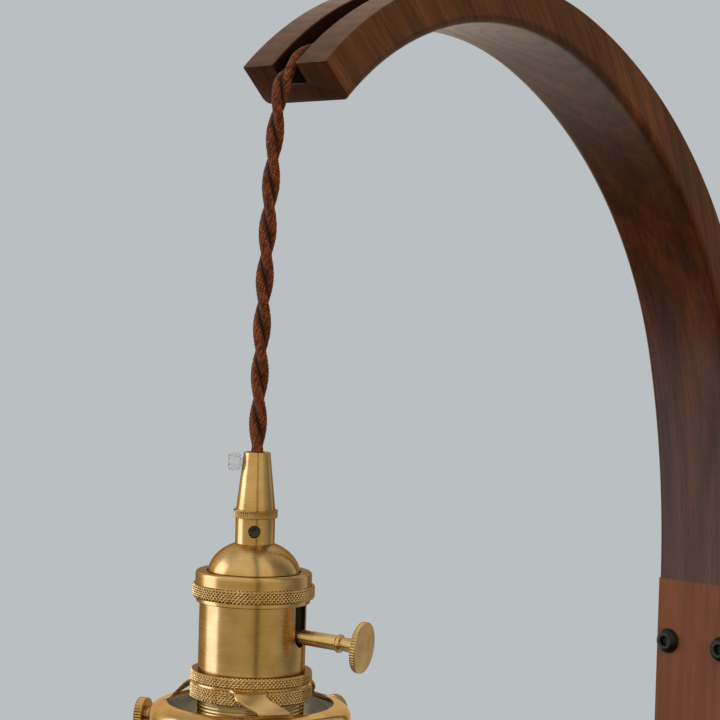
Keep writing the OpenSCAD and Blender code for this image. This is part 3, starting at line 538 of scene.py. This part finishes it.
# Post screws: four black button-head machine screws with a hexagon socket, driven into the plate's bosses.
# They are turned from steel bar and blackened, so only edges and the socket's flats catch a grey light.
def rounded(corners, cut, closed=True, steps=5):
    """An outline whose corners are each cut back by a length and bridged by a curve.

    The bridge is the quadratic curve between the two cuts that the corner pulls; a guard point on each side of
    it keeps the straight stretches straight. An open outline keeps its first and last point.
    """
    corners = np.asarray(corners, dtype=float)
    before, after = np.roll(corners, 1, axis=0) - corners, np.roll(corners, -1, axis=0) - corners
    length_before, length_after = (np.linalg.norm(side, axis=1) for side in (before, after))
    most = 0.49 * np.minimum(length_before, length_after)
    guard = 1.4
    reach = np.minimum(np.broadcast_to(cut, len(corners)) * guard, most)[:, None]
    before, after = before / length_before[:, None], after / length_after[:, None]
    t = np.linspace(0.0, 1.0, steps)[None, :, None]
    a, b = corners + before * reach / guard, corners + after * reach / guard
    curve = (1 - t) ** 2 * a[:, None] + 2 * t * (1 - t) * corners[:, None] + t ** 2 * b[:, None]
    ends = [(corners + side * reach)[:, None] for side in (before, after)]
    outline = np.concatenate([ends[0], curve, ends[1]], axis=1)
    if closed:
        return outline.reshape(-1, 2)
    return np.concatenate([corners[:1], outline[1:-1].reshape(-1, 2), corners[-1:]])


def turned(profile, columns, relief, at, axis=(0.0, 0.0, 1.0), across=(1.0, 0.0, 0.0), solid=False):
    """A grid for make_piece: a profile of radius and height, in millimetres, spun about an axis.

    The axis goes through a point. A relief adds to the radius by a formula of the angle, the height and the
    plain radius. A ring's profile closes on itself, and a solid's ends near the axis, where flat lids close it.
    """
    profile = np.asarray(profile, dtype=float)
    angle = np.linspace(0.0, 2 * np.pi, columns, endpoint=False)[None, :]
    height = profile[:, 1:]
    radius = np.repeat(profile[:, :1], columns, axis=1)
    if relief is not None:
        radius = radius + relief(angle, height, radius)
    axis = unit(np.array(axis, dtype=float))
    across = np.array(across, dtype=float)
    across = unit(across - axis * np.dot(across, axis))
    beside = np.cross(axis, across)
    spun = ((radius * np.cos(angle))[:, :, None] * across + (radius * np.sin(angle))[:, :, None] * beside
            + height[:, :, None] * axis)
    return np.asarray(at) + spun * mm, not solid, True, solid


def hexagon(flats, least_r):
    """A relief that turns what lies inside a radius into a hexagon of a size across its flats."""
    def relief(angle, height, radius):
        sixth = (angle + np.pi / 6) % (np.pi / 3) - np.pi / 6
        return np.where(radius < least_r, radius * (flats / 2 / least_r / np.cos(sixth) - 1), 0.0)
    return relief


# Oxide is dark, with a dull grey shine that fine turning marks rub brighter
black_steel = coated_steel("black oxide steel", 0.5, 2.0, "#1b1c1e", "#303336", dullest=0.44, metallic=0.7)
head_r, head_top_r, head_h, shank_r = 5.4, 3.35, 3.2, 3.0
socket_flats, socket_r, socket_floor = 4.0, 2.02, 1.2
screw_profile = np.concatenate([
    [(shank_r - 0.5, -31.0), (shank_r, -30.4)],
    rounded([(shank_r, -30.0), (shank_r, 0.0), (head_r, 0.0), (head_r, 0.7), (4.6, 2.3), (head_top_r, head_h),
             (socket_r + 0.42, head_h), (socket_r, head_h - 0.3), (socket_r, socket_floor)],
            [0.1, 0.1, 0.15, 0.5, 0.8, 0.3, 0.1, 0.1, 0.1], closed=False),
    [(0.4, socket_floor - 0.3)]])
screw_high = np.array(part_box("post_screws")[1])
screw_x, screw_z = screw_high[0] - head_r * mm, screw_high[2] - head_r * mm
screw_grids = [turned(screw_profile, 72, hexagon(socket_flats, socket_r + 0.01), (x, post_front, z), (0, -1, 0),
                      solid=True)
               for x in (-screw_x, screw_x) for z in (-screw_z, screw_z)]
post_screws = make_piece("post_screw_set", screw_grids, black_steel)
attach(post_screws, "lamp_base")
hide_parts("post_screws")


# Arm: dark walnut, sawn to an arch from one board, with a cord slot milled along its back and rounded inner
# edges. Its tongue goes down into the post, where the upper screws hold it.
arm_half, slot_half, arm_out = 20.5, 5.5, 17.0
slot_out, tongue_slot_out, tongue_out = 8.2, 10.0, 7.0


def slotted(low, slot_low, cuts, steps):
    """A section of the arm from its inner face out to its back, with the slot let into the back."""
    slot = [(slot_half, arm_out), (slot_half, slot_low), (-slot_half, slot_low), (-slot_half, arm_out)]
    return rounded([(-arm_half, low), (arm_half, low), (arm_half, arm_out), *slot, (-arm_half, arm_out)], cuts,
                   steps=steps)


arm_section = slotted(0.0, slot_out, [3.3, 3.3, 0.7, 0.6, 0.4, 0.4, 0.6, 0.7], 9)
tongue_section = slotted(tongue_out, tongue_slot_out, 0.3, 3)
tongue_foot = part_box("arm")[0][2]
end_ease = 0.3
ease_steps = 6


def inset(section, depth):
    """A closed section drawn in by a depth along its own inward direction."""
    along = unit(np.roll(section, -1, axis=0) - np.roll(section, 1, axis=0))
    return section + depth * np.column_stack([-along[:, 1], along[:, 0]])


def arm_sweep():
    """The arm's section carried along its three bends, each point at its bend's radius plus its distance out.

    The last stations draw the section in along a quarter circle, which eases the edges of the end face.
    """
    spacing = 2.0 * mm
    stations = [np.column_stack([np.broadcast_to([*c, r], (n, 3)), np.radians(np.linspace(a, b, n))])
                for c, r, a, b in bends for n in [int(np.radians(b - a) * r / spacing)]]
    stations = np.concatenate([stations[0], stations[1][1:], stations[2][1:]])
    ease = np.radians(np.linspace(0.0, 90.0, ease_steps))
    ease_angle = end_ease * mm / (tip_r + arm_t)
    last = np.column_stack([np.broadcast_to([*tip_c, tip_r], (ease_steps, 3)),
                            np.radians(tip_end) - ease_angle * (1 - np.sin(ease))])
    before = stations[-1].copy()
    before[3] = last[0, 3] - 2 * ease_angle
    stations = np.concatenate([stations[:-1], [before], last])
    depth = np.concatenate([np.zeros(len(stations) - ease_steps), end_ease * (1 - np.cos(ease))])
    sections = np.stack([inset(arm_section, d) for d in depth]) * mm
    radius = stations[:, 2:3] + sections[:, :, 1]
    return np.stack([sections[:, :, 0], stations[:, 0:1] + radius * np.cos(stations[:, 3:4]),
                     stations[:, 1:2] + radius * np.sin(stations[:, 3:4])], axis=-1)


def arm_tongue():
    """The tongue's section carried straight up to the seam."""
    heights = np.array([tongue_foot, tongue_foot + 0.5 * mm, seam_z - 0.5 * mm, seam_z])[:, None]
    x, out = tongue_section[None, :, 0] * mm, tongue_section[None, :, 1] * mm
    return np.stack([x + 0 * heights, post_front + out + 0 * heights, heights + 0 * x], axis=-1)


arm_grids = [arm_sweep(), arm_tongue()]
arm_points = np.concatenate([g.reshape(-1, 3) for g in arm_grids])
grain_c, grain_r = np.array([-480.0, 123.0]) * mm, 450 * mm
from_grain = arm_points[:, 1:] - grain_c
arm_grain = np.column_stack([grain_r * np.arctan2(from_grain[:, 1], from_grain[:, 0]),
                             np.linalg.norm(from_grain, axis=1), arm_points[:, 0]])
grain_pith = (0.16, grain_r - 0.075, 0.012)
dark_walnut = walnut("dark walnut", "grain", grain_pith, "#43210d", "#5a2f12", "#713f1a", "#271207", gloss=0.32,
                     streaky=0.7)

# The cut attribute marks the sawn sides, made paler partly as painted light, and the slot, painted dark as
# shade.
section_x = np.concatenate([np.tile(arm_section[:, 0], len(arm_grids[0])),
                            np.tile(tongue_section[:, 0], len(arm_grids[1]))])
on_skin = np.ones(len(section_x))
on_skin[arm_grids[0][:-1, :, 0].size:arm_grids[0][:, :, 0].size] = 0.0
arm_side_light_and_slot_shade = np.column_stack([on_skin * (np.abs(section_x) > arm_half - 0.05),
                           on_skin * (np.abs(section_x) < slot_half + 0.05), np.zeros(len(section_x))])
arm = make_piece("arched_arm", [(g, False, True, True) for g in arm_grids], dark_walnut, 35.0,
                 {"grain": arm_grain, "cut": arm_side_light_and_slot_shade})
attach(arm, "lamp_base")
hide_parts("arm")


# Cord cone: a turned brass cone with a knurled collar and a spigot in the holder's neck. The cord goes down its
# bore, and a clear plastic screw near its mouth grips the cord.
holder_at = np.array([0.0, -297.0, 115.0]) * mm


def sideways(profile, columns, relief, height, turn, droop=0.0):
    """A solid turned about a line that leaves the holder's axis at a height, in millimetres.

    The line is turned round the holder by one angle and droops by another.
    """
    axis = (np.cos(droop) * np.cos(turn), np.cos(droop) * np.sin(turn), -np.sin(droop))
    at = holder_at + np.array([0.0, 0.0, height]) * mm
    return turned(profile, columns, relief, at, axis, (0.0, 0.0, 1.0), solid=True)


def brass(name, coordinates="UV", around=30.0, light="#e8ca96", dark="#d8b984", rough=0.26, brushed=0.7,
          edge="#6f5628"):
    """Brushed lacquered brass: warm yellow metal whose fine lines run round the piece and blur what it mirrors.

    The lines are drawn a third of a millimetre apart, coarser than real ones, so that they show. The edge
    colour is what the metal mirrors where it is seen nearly along its face.
    """
    material, tree, place = start_material(name)
    line_gap = 0.34
    size = (1 / around, 1 / line_gap, 1.0)
    if coordinates == "Object":
        size = (1 / (around * mm), 1 / (around * mm), 1 / (line_gap * mm))
    scaled = add_node(tree, "VectorMath", {0: place.node.outputs[coordinates], 1: size}, operation="MULTIPLY")
    lines = add_node(tree, "TexNoise", {"Vector": scaled, "Scale": 1.0, "Detail": 3.0, "Roughness": 0.6})
    tarnish = add_node(tree, "TexNoise", {"Vector": place, "Scale": 1 / (9 * mm), "Detail": 3.0})
    colour = add_node(tree, "ValToRGB", {"Fac": lines}, stops=((0.25, dark), (0.7, light)))
    dulled = add_node(tree, "ValToRGB", {"Fac": tarnish}, stops=((0.3, "#e6dccb"), (0.65, "#ffffff")))
    colour = add_node(tree, "Mix", {0: 1.0, 6: colour, 7: dulled}, **multiplied)
    roughness = add_node(tree, "MapRange", {"Value": lines, "To Min": rough - 0.05, "To Max": rough + 0.06})
    bump = add_node(tree, "Bump", {"Height": lines, "Strength": 0.03, "Distance": 0.04 * mm})
    sockets = {"Base Color": colour, "Metallic": 1.0, "Roughness": roughness, "Normal": bump,
               "Specular Tint": edge, "Coat Weight": 0.2, "Coat Roughness": 0.15}
    if coordinates == "UV":
        sockets["Tangent"] = add_node(tree, "Tangent", direction_type="UV_MAP", uv_map="surface")
        sockets["Anisotropic Rotation"] = 0.25
    else:
        upright = add_node(tree, "CombineXYZ", {"Z": 1.0})
        sockets["Tangent"] = add_node(tree, "VectorTransform", {0: upright}, convert_from="OBJECT",
                                      convert_to="WORLD")
    skin(tree, {**sockets, "Anisotropic": brushed})
    return material


def divided(profile, step, least_r=0.0):
    """A profile with points added so that, outside a radius, none of its stretches is longer than a step."""
    profile = np.asarray(profile, dtype=float)
    at = distances(profile)
    added = np.arange(0.0, at[-1], step)
    outside = np.interp(added, at, profile[:, 0]) > least_r
    added = added[outside & (np.abs(added[:, None] - at).min(axis=1) > 0.01)]
    s = np.sort(np.concatenate([at, added]))
    s = s[np.concatenate([[True], np.diff(s) > 1e-4])]
    return np.column_stack([np.interp(s, at, profile[:, 0]), np.interp(s, at, profile[:, 1])])


def ridges(teeth, depth, low, high, least_r):
    """A straight knurl: rounded teeth round a band, which take off up to a depth between them."""
    def relief(angle, height, radius):
        inside = (height > low) & (height < high) & (radius > least_r)
        return -depth * inside * (0.5 - 0.5 * np.cos(teeth * angle))
    return relief


def diamonds(teeth, pitch, depth, low, high, least_r):
    """A diamond knurl: two sets of grooves that cross, and a flat-topped pyramid wherever none runs."""
    def relief(angle, height, radius):
        inside = (height > low) & (height < high) & (radius > least_r)
        turn = teeth * angle / (2 * np.pi)
        sides = [1 - np.abs(2 * ((turn + way * height / pitch) % 1.0) - 1) for way in (1, -1)]
        flat_from = 0.85
        pyramid = np.minimum(np.minimum(*sides) / flat_from, 1.0)
        return -depth * inside * (1 - pyramid)
    return relief


def brass_piece(name, grids, body, *nodes, material=None):
    """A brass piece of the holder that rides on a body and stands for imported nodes."""
    piece = make_piece(name, grids, material or plain_brass)
    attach(piece, body)
    if nodes:
        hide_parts(*nodes)


plain_brass = brass("brushed brass")
knurled_brass = brass("knurled brass", rough=0.22, brushed=0.0)
cone_z, cone_foot, cone_top = 51.79, 54.59, 74.09
cord_bore_r, spigot_r, collar_r = 3.5, 4.7, 7.55
cone_corners = [(cord_bore_r, cone_z - 6), (spigot_r, cone_z - 6), (spigot_r, cone_z), (collar_r, cone_z),
                (collar_r, cone_foot), (6.7, cone_foot), (4.5, cone_top), (cord_bore_r, cone_top)]
cone_profile = rounded(cone_corners, [0.1, 0.3, 0.1, 0.35, 0.35, 0.12, 0.45, 0.3])
cone_knurl = ridges(60, 0.22, cone_z + 0.3, cone_foot - 0.3, 7.0)
brass_piece("cord_cone_turned", [turned(cone_profile, 480, cone_knurl, holder_at)], "holder", "cord_cone")

lock_z, lock_turn = 70.49, np.radians(226)
flute_count, flute_depth, flute_least_r, flute_from = 8, 0.32, 2.4, 5.6


def clear_plastic():
    """Clear moulded plastic: colourless, glossy, a little cloudy inside."""
    material, tree, place = start_material("clear moulded plastic")
    cloud = add_node(tree, "TexNoise", {"Vector": place, "Scale": 1 / (2 * mm), "Detail": 2.0})
    rough = add_node(tree, "MapRange", {"Value": cloud, "To Min": 0.03, "To Max": 0.16})
    skin(tree, {"Base Color": "#f4f6f6", "Roughness": rough, "IOR": 1.49, "Transmission Weight": 0.95})
    return material


def flutes(angle, height, radius):
    """A relief of hollow flutes round the screw's grip, each one wave of a cosine."""
    inside = (radius > flute_least_r) & (height > flute_from)
    return -flute_depth * inside * (0.5 - 0.5 * np.cos(flute_count * angle))


lock_shank_r, lock_grip_r, lock_tip, lock_collar, lock_end = 1.5, 3.25, 3.6, 5.5, 9.8
lock_profile = rounded(
    [(0.3, lock_tip), (lock_shank_r, lock_tip), (lock_shank_r, lock_collar), (2.3, lock_collar),
     (lock_grip_r, lock_collar + 1), (lock_grip_r, lock_end - 1.1), (2.2, lock_end), (1.1, lock_end),
     (0.8, lock_end - 1.2), (0.3, lock_end - 1.2)],
    [0.1, 0.1, 0.1, 0.35, 0.5, 0.5, 0.35, 0.2, 0.1, 0.1], closed=False)
lock_grid = sideways(lock_profile, 64, flutes, lock_z, lock_turn)
lock_screw = make_piece("cord_grip_screw", [lock_grid], clear_plastic(), 30.0)
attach(lock_screw, "holder")
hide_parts("cord_lock_screw")


# Cap dome: spun brass, a neck over a half-round dome and a flange that the union ring holds down. A black grub
# screw in the neck keeps the cone's spigot from turning.
dome_z, neck_z, dome_r, neck_r = 32.19, 42.99, 15.9, 6.75
dome_stop = np.arccos(neck_r / dome_r)
dome_rise = (neck_z - dome_z) / np.sin(dome_stop)
grub_z, grub_turn, grub_r, grub_depth = 47.39, np.radians(-46), 1.95, 1.45


def grub_hole(angle, height, radius):
    """A relief that sinks a round hole with a soft edge into the neck's side."""
    round_way = neck_r * ((angle - grub_turn + np.pi) % (2 * np.pi) - np.pi)
    gap = np.hypot(round_way, height - grub_z)
    soft = 0.3
    return np.where(radius > neck_r - 0.3, -grub_depth * s_curve((grub_r + soft / 2 - gap) / soft), 0.0)


flange_r, flange_low, dome_bore_r, neck_bore_r = 18.0, 30.7, 14.9, 4.8
neck_end, neck_top = cone_z - 0.4, cone_z - 0.02
dome_profile = np.concatenate([
    [(dome_bore_r, flange_low), (flange_r, flange_low), (flange_r, dome_z)],
    arc((0.0, dome_z), dome_r, 0.0, np.degrees(dome_stop), 40, dome_rise),
    divided([(neck_r, neck_z + 0.1), (neck_r, neck_end)], 0.17),
    rounded([(neck_r, neck_end), (neck_r, neck_top), (neck_bore_r, neck_top)], 0.3, closed=False)[1:],
    [(neck_bore_r, neck_z), (14.0, dome_z + 2.0)]])
brass_piece("cap_dome_spun", [turned(dome_profile, 240, grub_hole, holder_at)], "holder", "cap_dome")

grub_thread_r, grub_socket_r, grub_out = 1.88, 0.9, 6.4
grub_profile = [(1.6, 4.9), (grub_thread_r, 5.2), (grub_thread_r, grub_out - 0.2), (1.7, grub_out),
                (1.05, grub_out), (grub_socket_r, grub_out - 0.1), (grub_socket_r, 5.6), (0.2, 5.5)]
grub_hexagon = hexagon(2 * grub_socket_r, grub_socket_r + 0.02)
grub_grid = sideways(grub_profile, 48, grub_hexagon, grub_z, grub_turn)
# The grub is a paler copy of the black oxide steel: painted highlight, so that its socket shows grey glints.
glint_paled_black_steel = coated_steel("black oxide steel paled for painted glints", 0.5, 2.0, "#2c2e31", "#55595d", dullest=0.44, metallic=0.7)
grub = make_piece("neck_grub", [grub_grid], glint_paled_black_steel)
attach(grub, "holder")
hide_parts("neck_grub_screw")


# Union ring: turned brass, a smooth collar, a diamond-knurled band and a rounded shoulder. It screws on the
# shell and holds the dome's flange.
knurl_teeth, knurl_pitch, knurl_depth, knurl_from, knurl_ease = 92, 1.5, 0.46, 20.4, 0.4


def knurled(profile, low, high):
    """A ring's grid, with a diamond knurl between two heights and points close enough there to show it."""
    relief = diamonds(knurl_teeth, knurl_pitch, knurl_depth, low, high, knurl_from)
    return turned(divided(profile, 0.17, knurl_from), 768, relief, holder_at)


union_low, band_low, band_high, union_top, union_floor = 23.1, 24.7, 29.2, 33.7, 32.2
union_bore_r, union_collar_r, band_r, shoulder_r, union_mouth_r = 18.35, 19.5, 21.0, 19.9, 16.1
union_corners = [(union_bore_r, union_low), (union_collar_r, union_low), (union_collar_r, band_low),
                 (band_r - knurl_ease, band_low), (band_r, band_low + knurl_ease),
                 (band_r, band_high - knurl_ease), (band_r - knurl_ease, band_high), (shoulder_r, band_high),
                 (shoulder_r, union_top), (union_mouth_r, union_top), (union_mouth_r, union_floor),
                 (union_bore_r, union_floor)]
union_profile = rounded(union_corners, [0.1, 0.25, 0.15, 0.15, 0.2, 0.2, 0.15, 0.2, 1.6, 0.4, 0.1, 0.1])
brass_piece("union_ring_knurled", [knurled(union_profile, band_low, band_high)], "holder", "union_ring",
            material=knurled_brass)


# Socket shell: drawn brass tube with a notch for the key's stem and a threaded skirt below. Inside are the
# switch block and its terminals, the ceramic insert, the screw shell and the centre contact.
shell_brass = brass("brushed brass tube", "Object")
finish_node(shell_brass, "socket_shell", "switch_terminals", "screw_shell", "centre_contact", "block_screws",
            "earth_screw")
phenolic = moulded("brown phenolic", "#120c09", "#1c1410", 0.7, {"Specular IOR Level": 0.12})
glaze = moulded("glazed ceramic", "#e4dfd3", "#f0ede4", 0.2, {"Coat Weight": 0.5, "Coat Roughness": 0.08})
finish_node(phenolic, "switch_block", "bulb_insulator")
finish_node(glaze, "ceramic_insert")
finish_node(cotton, "holder_cord")

thread_pitch, thread_low, thread_high = 1.15, -19.6, -9.6
thread_r, thread_root_r, thread_depth = 18.24, 17.91, 0.28


def thread(angle, height, radius):
    """A relief of one rolled thread: a rounded rib that climbs a pitch a turn."""
    rib = 0.5 + 0.5 * np.cos(2 * np.pi * height / thread_pitch - angle)
    return np.where(radius > thread_root_r + 0.09, -thread_depth * (1 - rib), 0.0)


thread_profile = np.concatenate([divided([(thread_r, thread_low), (thread_r, thread_high)], 0.12),
                                 [(thread_root_r, thread_high), (thread_root_r, thread_low)]])
brass_piece("skirt_thread", [turned(thread_profile, 160, thread, holder_at)], "holder")


# Shade rings: two knurled brass nuts on the skirt's thread, one above and one below the carrier's hub.
# They are turned and knurled like the union ring, and clamp the hub between them.
ring_bore_r, ring_r = 17.95, 20.9
for ring, foot, top in (("upper", -3.7, 0.0), ("lower", -9.4, -4.6)):
    ring_corners = [(ring_bore_r, foot), (ring_r - knurl_ease, foot), (ring_r, foot + knurl_ease),
                    (ring_r, top - knurl_ease), (ring_r - knurl_ease, top), (ring_bore_r, top)]
    ring_grid = knurled(rounded(ring_corners, [0.2, 0.15, 0.2, 0.2, 0.15, 0.2]), foot, top)
    brass_piece(f"{ring}_ring_knurled", [ring_grid], "holder", f"{ring}_shade_ring", material=knurled_brass)


# Shade carrier: pressed brass sheet, a hub between the rings, three swept spokes and a deep rim round the
# shade's neck. Three thumbscrews through the rim hold the glass.
sheet_t, lip_r, rim_r = 0.9, 28.5, 34.5
hub_top, lip_z, rim_shoulder, rim_low = -3.7, -11.3, 4.3, -25.6
spoke_first, spoke_turn, spoke_gap = np.radians([-43.5, 17.5, 120.0])
spoke_hub_r, turn_from, turn_to = 19.6, 0.27, 0.78
trail_waist, trail_flare, trail_power = 5.5, 5.6, 6.0
lead_waist, lead_flare, lead_power = 5.2, 1.2, 3.5


def spoke(first):
    """A swept spoke: its middle turns in one S as it goes out, and sinks in another from the hub to the lip.

    Each side stands off the middle by a waist plus a flare that grows as a power of the distance from the
    spoke's middle, a higher one on the trailing side, so both edges are hollow.
    """
    u = np.linspace(0.0, 1.0, 49)[:, None]
    turned_by = spoke_turn * s_curve((u - turn_from) / (turn_to - turn_from))
    from_middle = np.abs(2 * u - 1)
    edge = rounded([(-trail_waist, -sheet_t / 2), (lead_waist, -sheet_t / 2), (lead_waist, sheet_t / 2),
                    (-trail_waist, sheet_t / 2)], 0.2, steps=4)[None]
    side = edge[:, :, 0] + np.where(edge[:, :, 0] < 0, -trail_flare * from_middle ** trail_power,
                                    lead_flare * from_middle ** lead_power)
    radius = spoke_hub_r + (lip_r + 1.2 - spoke_hub_r) * u
    height = hub_top - sheet_t / 2 + (lip_z + 0.1 * sheet_t - hub_top) * s_curve(u)
    angle = first + turned_by + side / radius
    grid = np.stack([radius * np.cos(angle), radius * np.sin(angle), height + edge[:, :, 1]], axis=-1)
    return holder_at + grid * mm


hub_bore_r, hub_r, hub_low = 18.0, 20.5, hub_top - sheet_t
hub_profile = rounded([(hub_bore_r, hub_low), (hub_r, hub_low), (hub_r, hub_top), (hub_bore_r, hub_top)], 0.15)
rim_outside, rim_inside = (arc((lip_r, lip_z - rim_shoulder), rim_r - lip_r - t, 90, 0, 16, rim_shoulder - t)
                           for t in (0.0, sheet_t))
rim_edge = [(rim_r, rim_low + 0.3), (rim_r - 0.25, rim_low), (rim_r - 0.65, rim_low),
            (rim_r - sheet_t, rim_low + 0.3)]
rim_profile = np.concatenate([rim_outside, rim_edge, rim_inside[::-1]])[::-1]
carrier_grids = [turned(hub_profile, 160, None, holder_at), turned(rim_profile, 200, None, holder_at)]
carrier_grids += [(spoke(spoke_first + k * spoke_gap), False, True, True) for k in range(3)]
brass_piece("shade_carrier_pressed", carrier_grids, "holder", "shade_carrier",
            material=brass("pressed brass sheet", "Object", rough=0.2, brushed=0.0, edge="#d8c39a"))

thumb_z, thumb_first = -19.0, np.radians(207)
thumb_shank_r, thumb_tip, thumb_collar_r, thumb_r = 1.5, 29.3, 2.9, 5.75
collar_in, thumb_in, thumb_out = 36.2, 37.8, 40.8
thumb_profile = rounded(
    [(thumb_shank_r, thumb_tip), (thumb_shank_r, collar_in), (thumb_collar_r, collar_in),
     (thumb_collar_r, thumb_in), (thumb_r, thumb_in), (thumb_r, thumb_out), (0.4, thumb_out)],
    [0.1, 0.1, 0.3, 0.1, 0.35, 0.35, 0.1], closed=False)
thumb_knurl = ridges(36, 0.3, thumb_in + 0.2, thumb_out - 0.2, 5.0)
for k in range(3):
    thumb_grid = sideways(thumb_profile, 288, thumb_knurl, thumb_z, thumb_first + k * spoke_gap)
    brass_piece(f"thumbscrew_turned_{k + 1}", [thumb_grid], f"thumb_{k + 1}", f"thumbscrew_{k + 1}")


# Glass shade: clear blown glass, a bell with a beaded neck that hangs on the thumbscrews. It is blown in a
# mould and fire polished, so its lip is round and its wall is even.
def clear_glass(name, tint, ground_from):
    """Clear blown glass: colourless, glossy and faintly rippled from blowing, and ground dull at its neck."""
    material, tree, place = start_material(name)
    ripple = add_node(tree, "TexNoise", {"Vector": place, "Scale": 1 / (22 * mm), "Detail": 1.0})
    bump = add_node(tree, "Bump", {"Height": ripple, "Strength": 0.05, "Distance": 1.0 * mm})
    height = add_node(tree, "SeparateXYZ", {0: place}, out="Z")
    ground = add_node(tree, "MapRange", {"Value": height, "From Min": ground_from,
                                         "From Max": ground_from + 4 * mm, "To Max": 0.5})
    skin(tree, {"Base Color": tint, "Roughness": ground, "IOR": 1.5, "Transmission Weight": 1.0,
                "Normal": bump})
    return material


shade_wall, shade_neck_r, shade_mouth_r = 2.6, 29.0, 75.0
shade_top, shade_neck_end, shade_low = -13.1, -26.6, -122.6
bead_r = 1.3
down = np.linspace(0.0, 1.0, 60)
bell_flare = 0.18
bell = (1 - bell_flare) * (1 - np.cos(np.pi * down ** 0.8)) / 2 + bell_flare * down ** 4
bell_r = shade_neck_r + (shade_mouth_r - shade_neck_r) * bell
bell_z = shade_neck_end + (shade_low - shade_neck_end) * down
bead = arc((shade_neck_r, shade_top - bead_r), bead_r, 90, -90, 12)
mouth_lip_r = shade_wall / 2
mouth = arc((shade_mouth_r - mouth_lip_r, shade_low + mouth_lip_r), mouth_lip_r, 0, -180, 10)
shade_profile = np.concatenate([
    [(shade_neck_r - shade_wall + 0.3, shade_top)], bead, [(shade_neck_r, shade_top - 3.2)],
    np.column_stack([bell_r, bell_z])[:-2], mouth, np.column_stack([bell_r - shade_wall, bell_z])[:-2][::-1],
    [(shade_neck_r - shade_wall, shade_top - 0.5)]])[::-1]
shade_glass = clear_glass("clear blown glass", "#f6faf9", holder_at[2] + (shade_neck_end + 4) * mm)
shade = make_piece("glass_bell", [turned(shade_profile, 160, None, holder_at)], shade_glass)
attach(shade, "holder")
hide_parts("glass_shade")


# Bulb: a clear globe on a screw cap, with a glass stem and four coated filament rods. It screws into the
# holder, and its cap is plated.
bulb_r, bulb_drop, bulb_neck_r, bulb_wall, cap_end = 30.0, -76.0, 11.8, 0.8, -25.0


def globe(inset_by):
    """The globe's outline: a round end, and a neck that leaves it in one S of a cubic curve."""
    ball_end, pull = 48, 9
    ball = arc((0.0, bulb_drop), bulb_r - inset_by, -89, ball_end, 40)
    t = np.linspace(0.0, 1.0, 16)[1:, None]
    foot, top = ball[-1], np.array([bulb_neck_r - inset_by, cap_end + 8])
    leaving = np.radians(ball_end)
    pull_low = foot + pull * np.array([-np.sin(leaving), np.cos(leaving)])
    pull_high = np.array([bulb_neck_r - inset_by, cap_end - 12])
    neck = ((1 - t) ** 3 * foot + 3 * t * (1 - t) ** 2 * pull_low + 3 * t ** 2 * (1 - t) * pull_high
            + t ** 3 * top)
    return np.concatenate([ball, neck])


bulb_profile = np.concatenate([globe(0.0), globe(bulb_wall)[::-1]])
bulb_glass = clear_glass("bulb glass", "#ffffff", holder_at[2] + (cap_end + 2) * mm)
bulb = make_piece("bulb_globe", [turned(bulb_profile, 128, None, holder_at, solid=True)], bulb_glass)
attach(bulb, "holder")
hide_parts("bulb_glass")
finish_node(zinc, "bulb_cap")
finish_node(bulb_glass, "bulb_stem")
finish_node(moulded("coated filament rods", "#d9b14f", "#ecc76a", 0.5), "bulb_filament")


# Switch key: a turned brass stem with a bead and a boss, and a knurled flat disc that turns the cam inside.
# The stem goes through the shell's notch into the switch block.
key_z, key_droop, key_turn = 13.8, np.radians(4), np.radians(20)
stem_r, stem_in, stem_out, key_bead_r, throat_r, boss_r = 2.55, 4.0, 32.0, 3.1, 2.2, 2.9
disc_r, disc_in, disc_out = 8.6, 40.0, 42.0
key_profile = rounded(
    [(stem_r, stem_in), (stem_r, stem_out), (key_bead_r, stem_out + 0.3), (key_bead_r, stem_out + 1.4),
     (throat_r, stem_out + 1.9), (throat_r + 0.15, disc_in - 3), (boss_r, disc_in), (disc_r, disc_in),
     (disc_r, disc_out), (0.4, disc_out)],
    [0.1, 0.2, 0.35, 0.35, 0.5, 2.0, 0.5, 0.5, 0.5, 0.1], closed=False, steps=7)
key_knurl = ridges(55, 0.28, disc_in + 0.3, disc_out - 0.3, 7.8)
key_grid = sideways(key_profile, 440, key_knurl, key_z, key_turn, key_droop)
# The key's brass is a paler copy of the brushed brass: painted light that brings its stem and disc up to the
# other brass's brightness.
brass_piece("switch_key_turned", [key_grid], "key", "switch_key",
            material=brass("key brass paled as painted light", light="#f6dfb2", dark="#e9cd9a"))
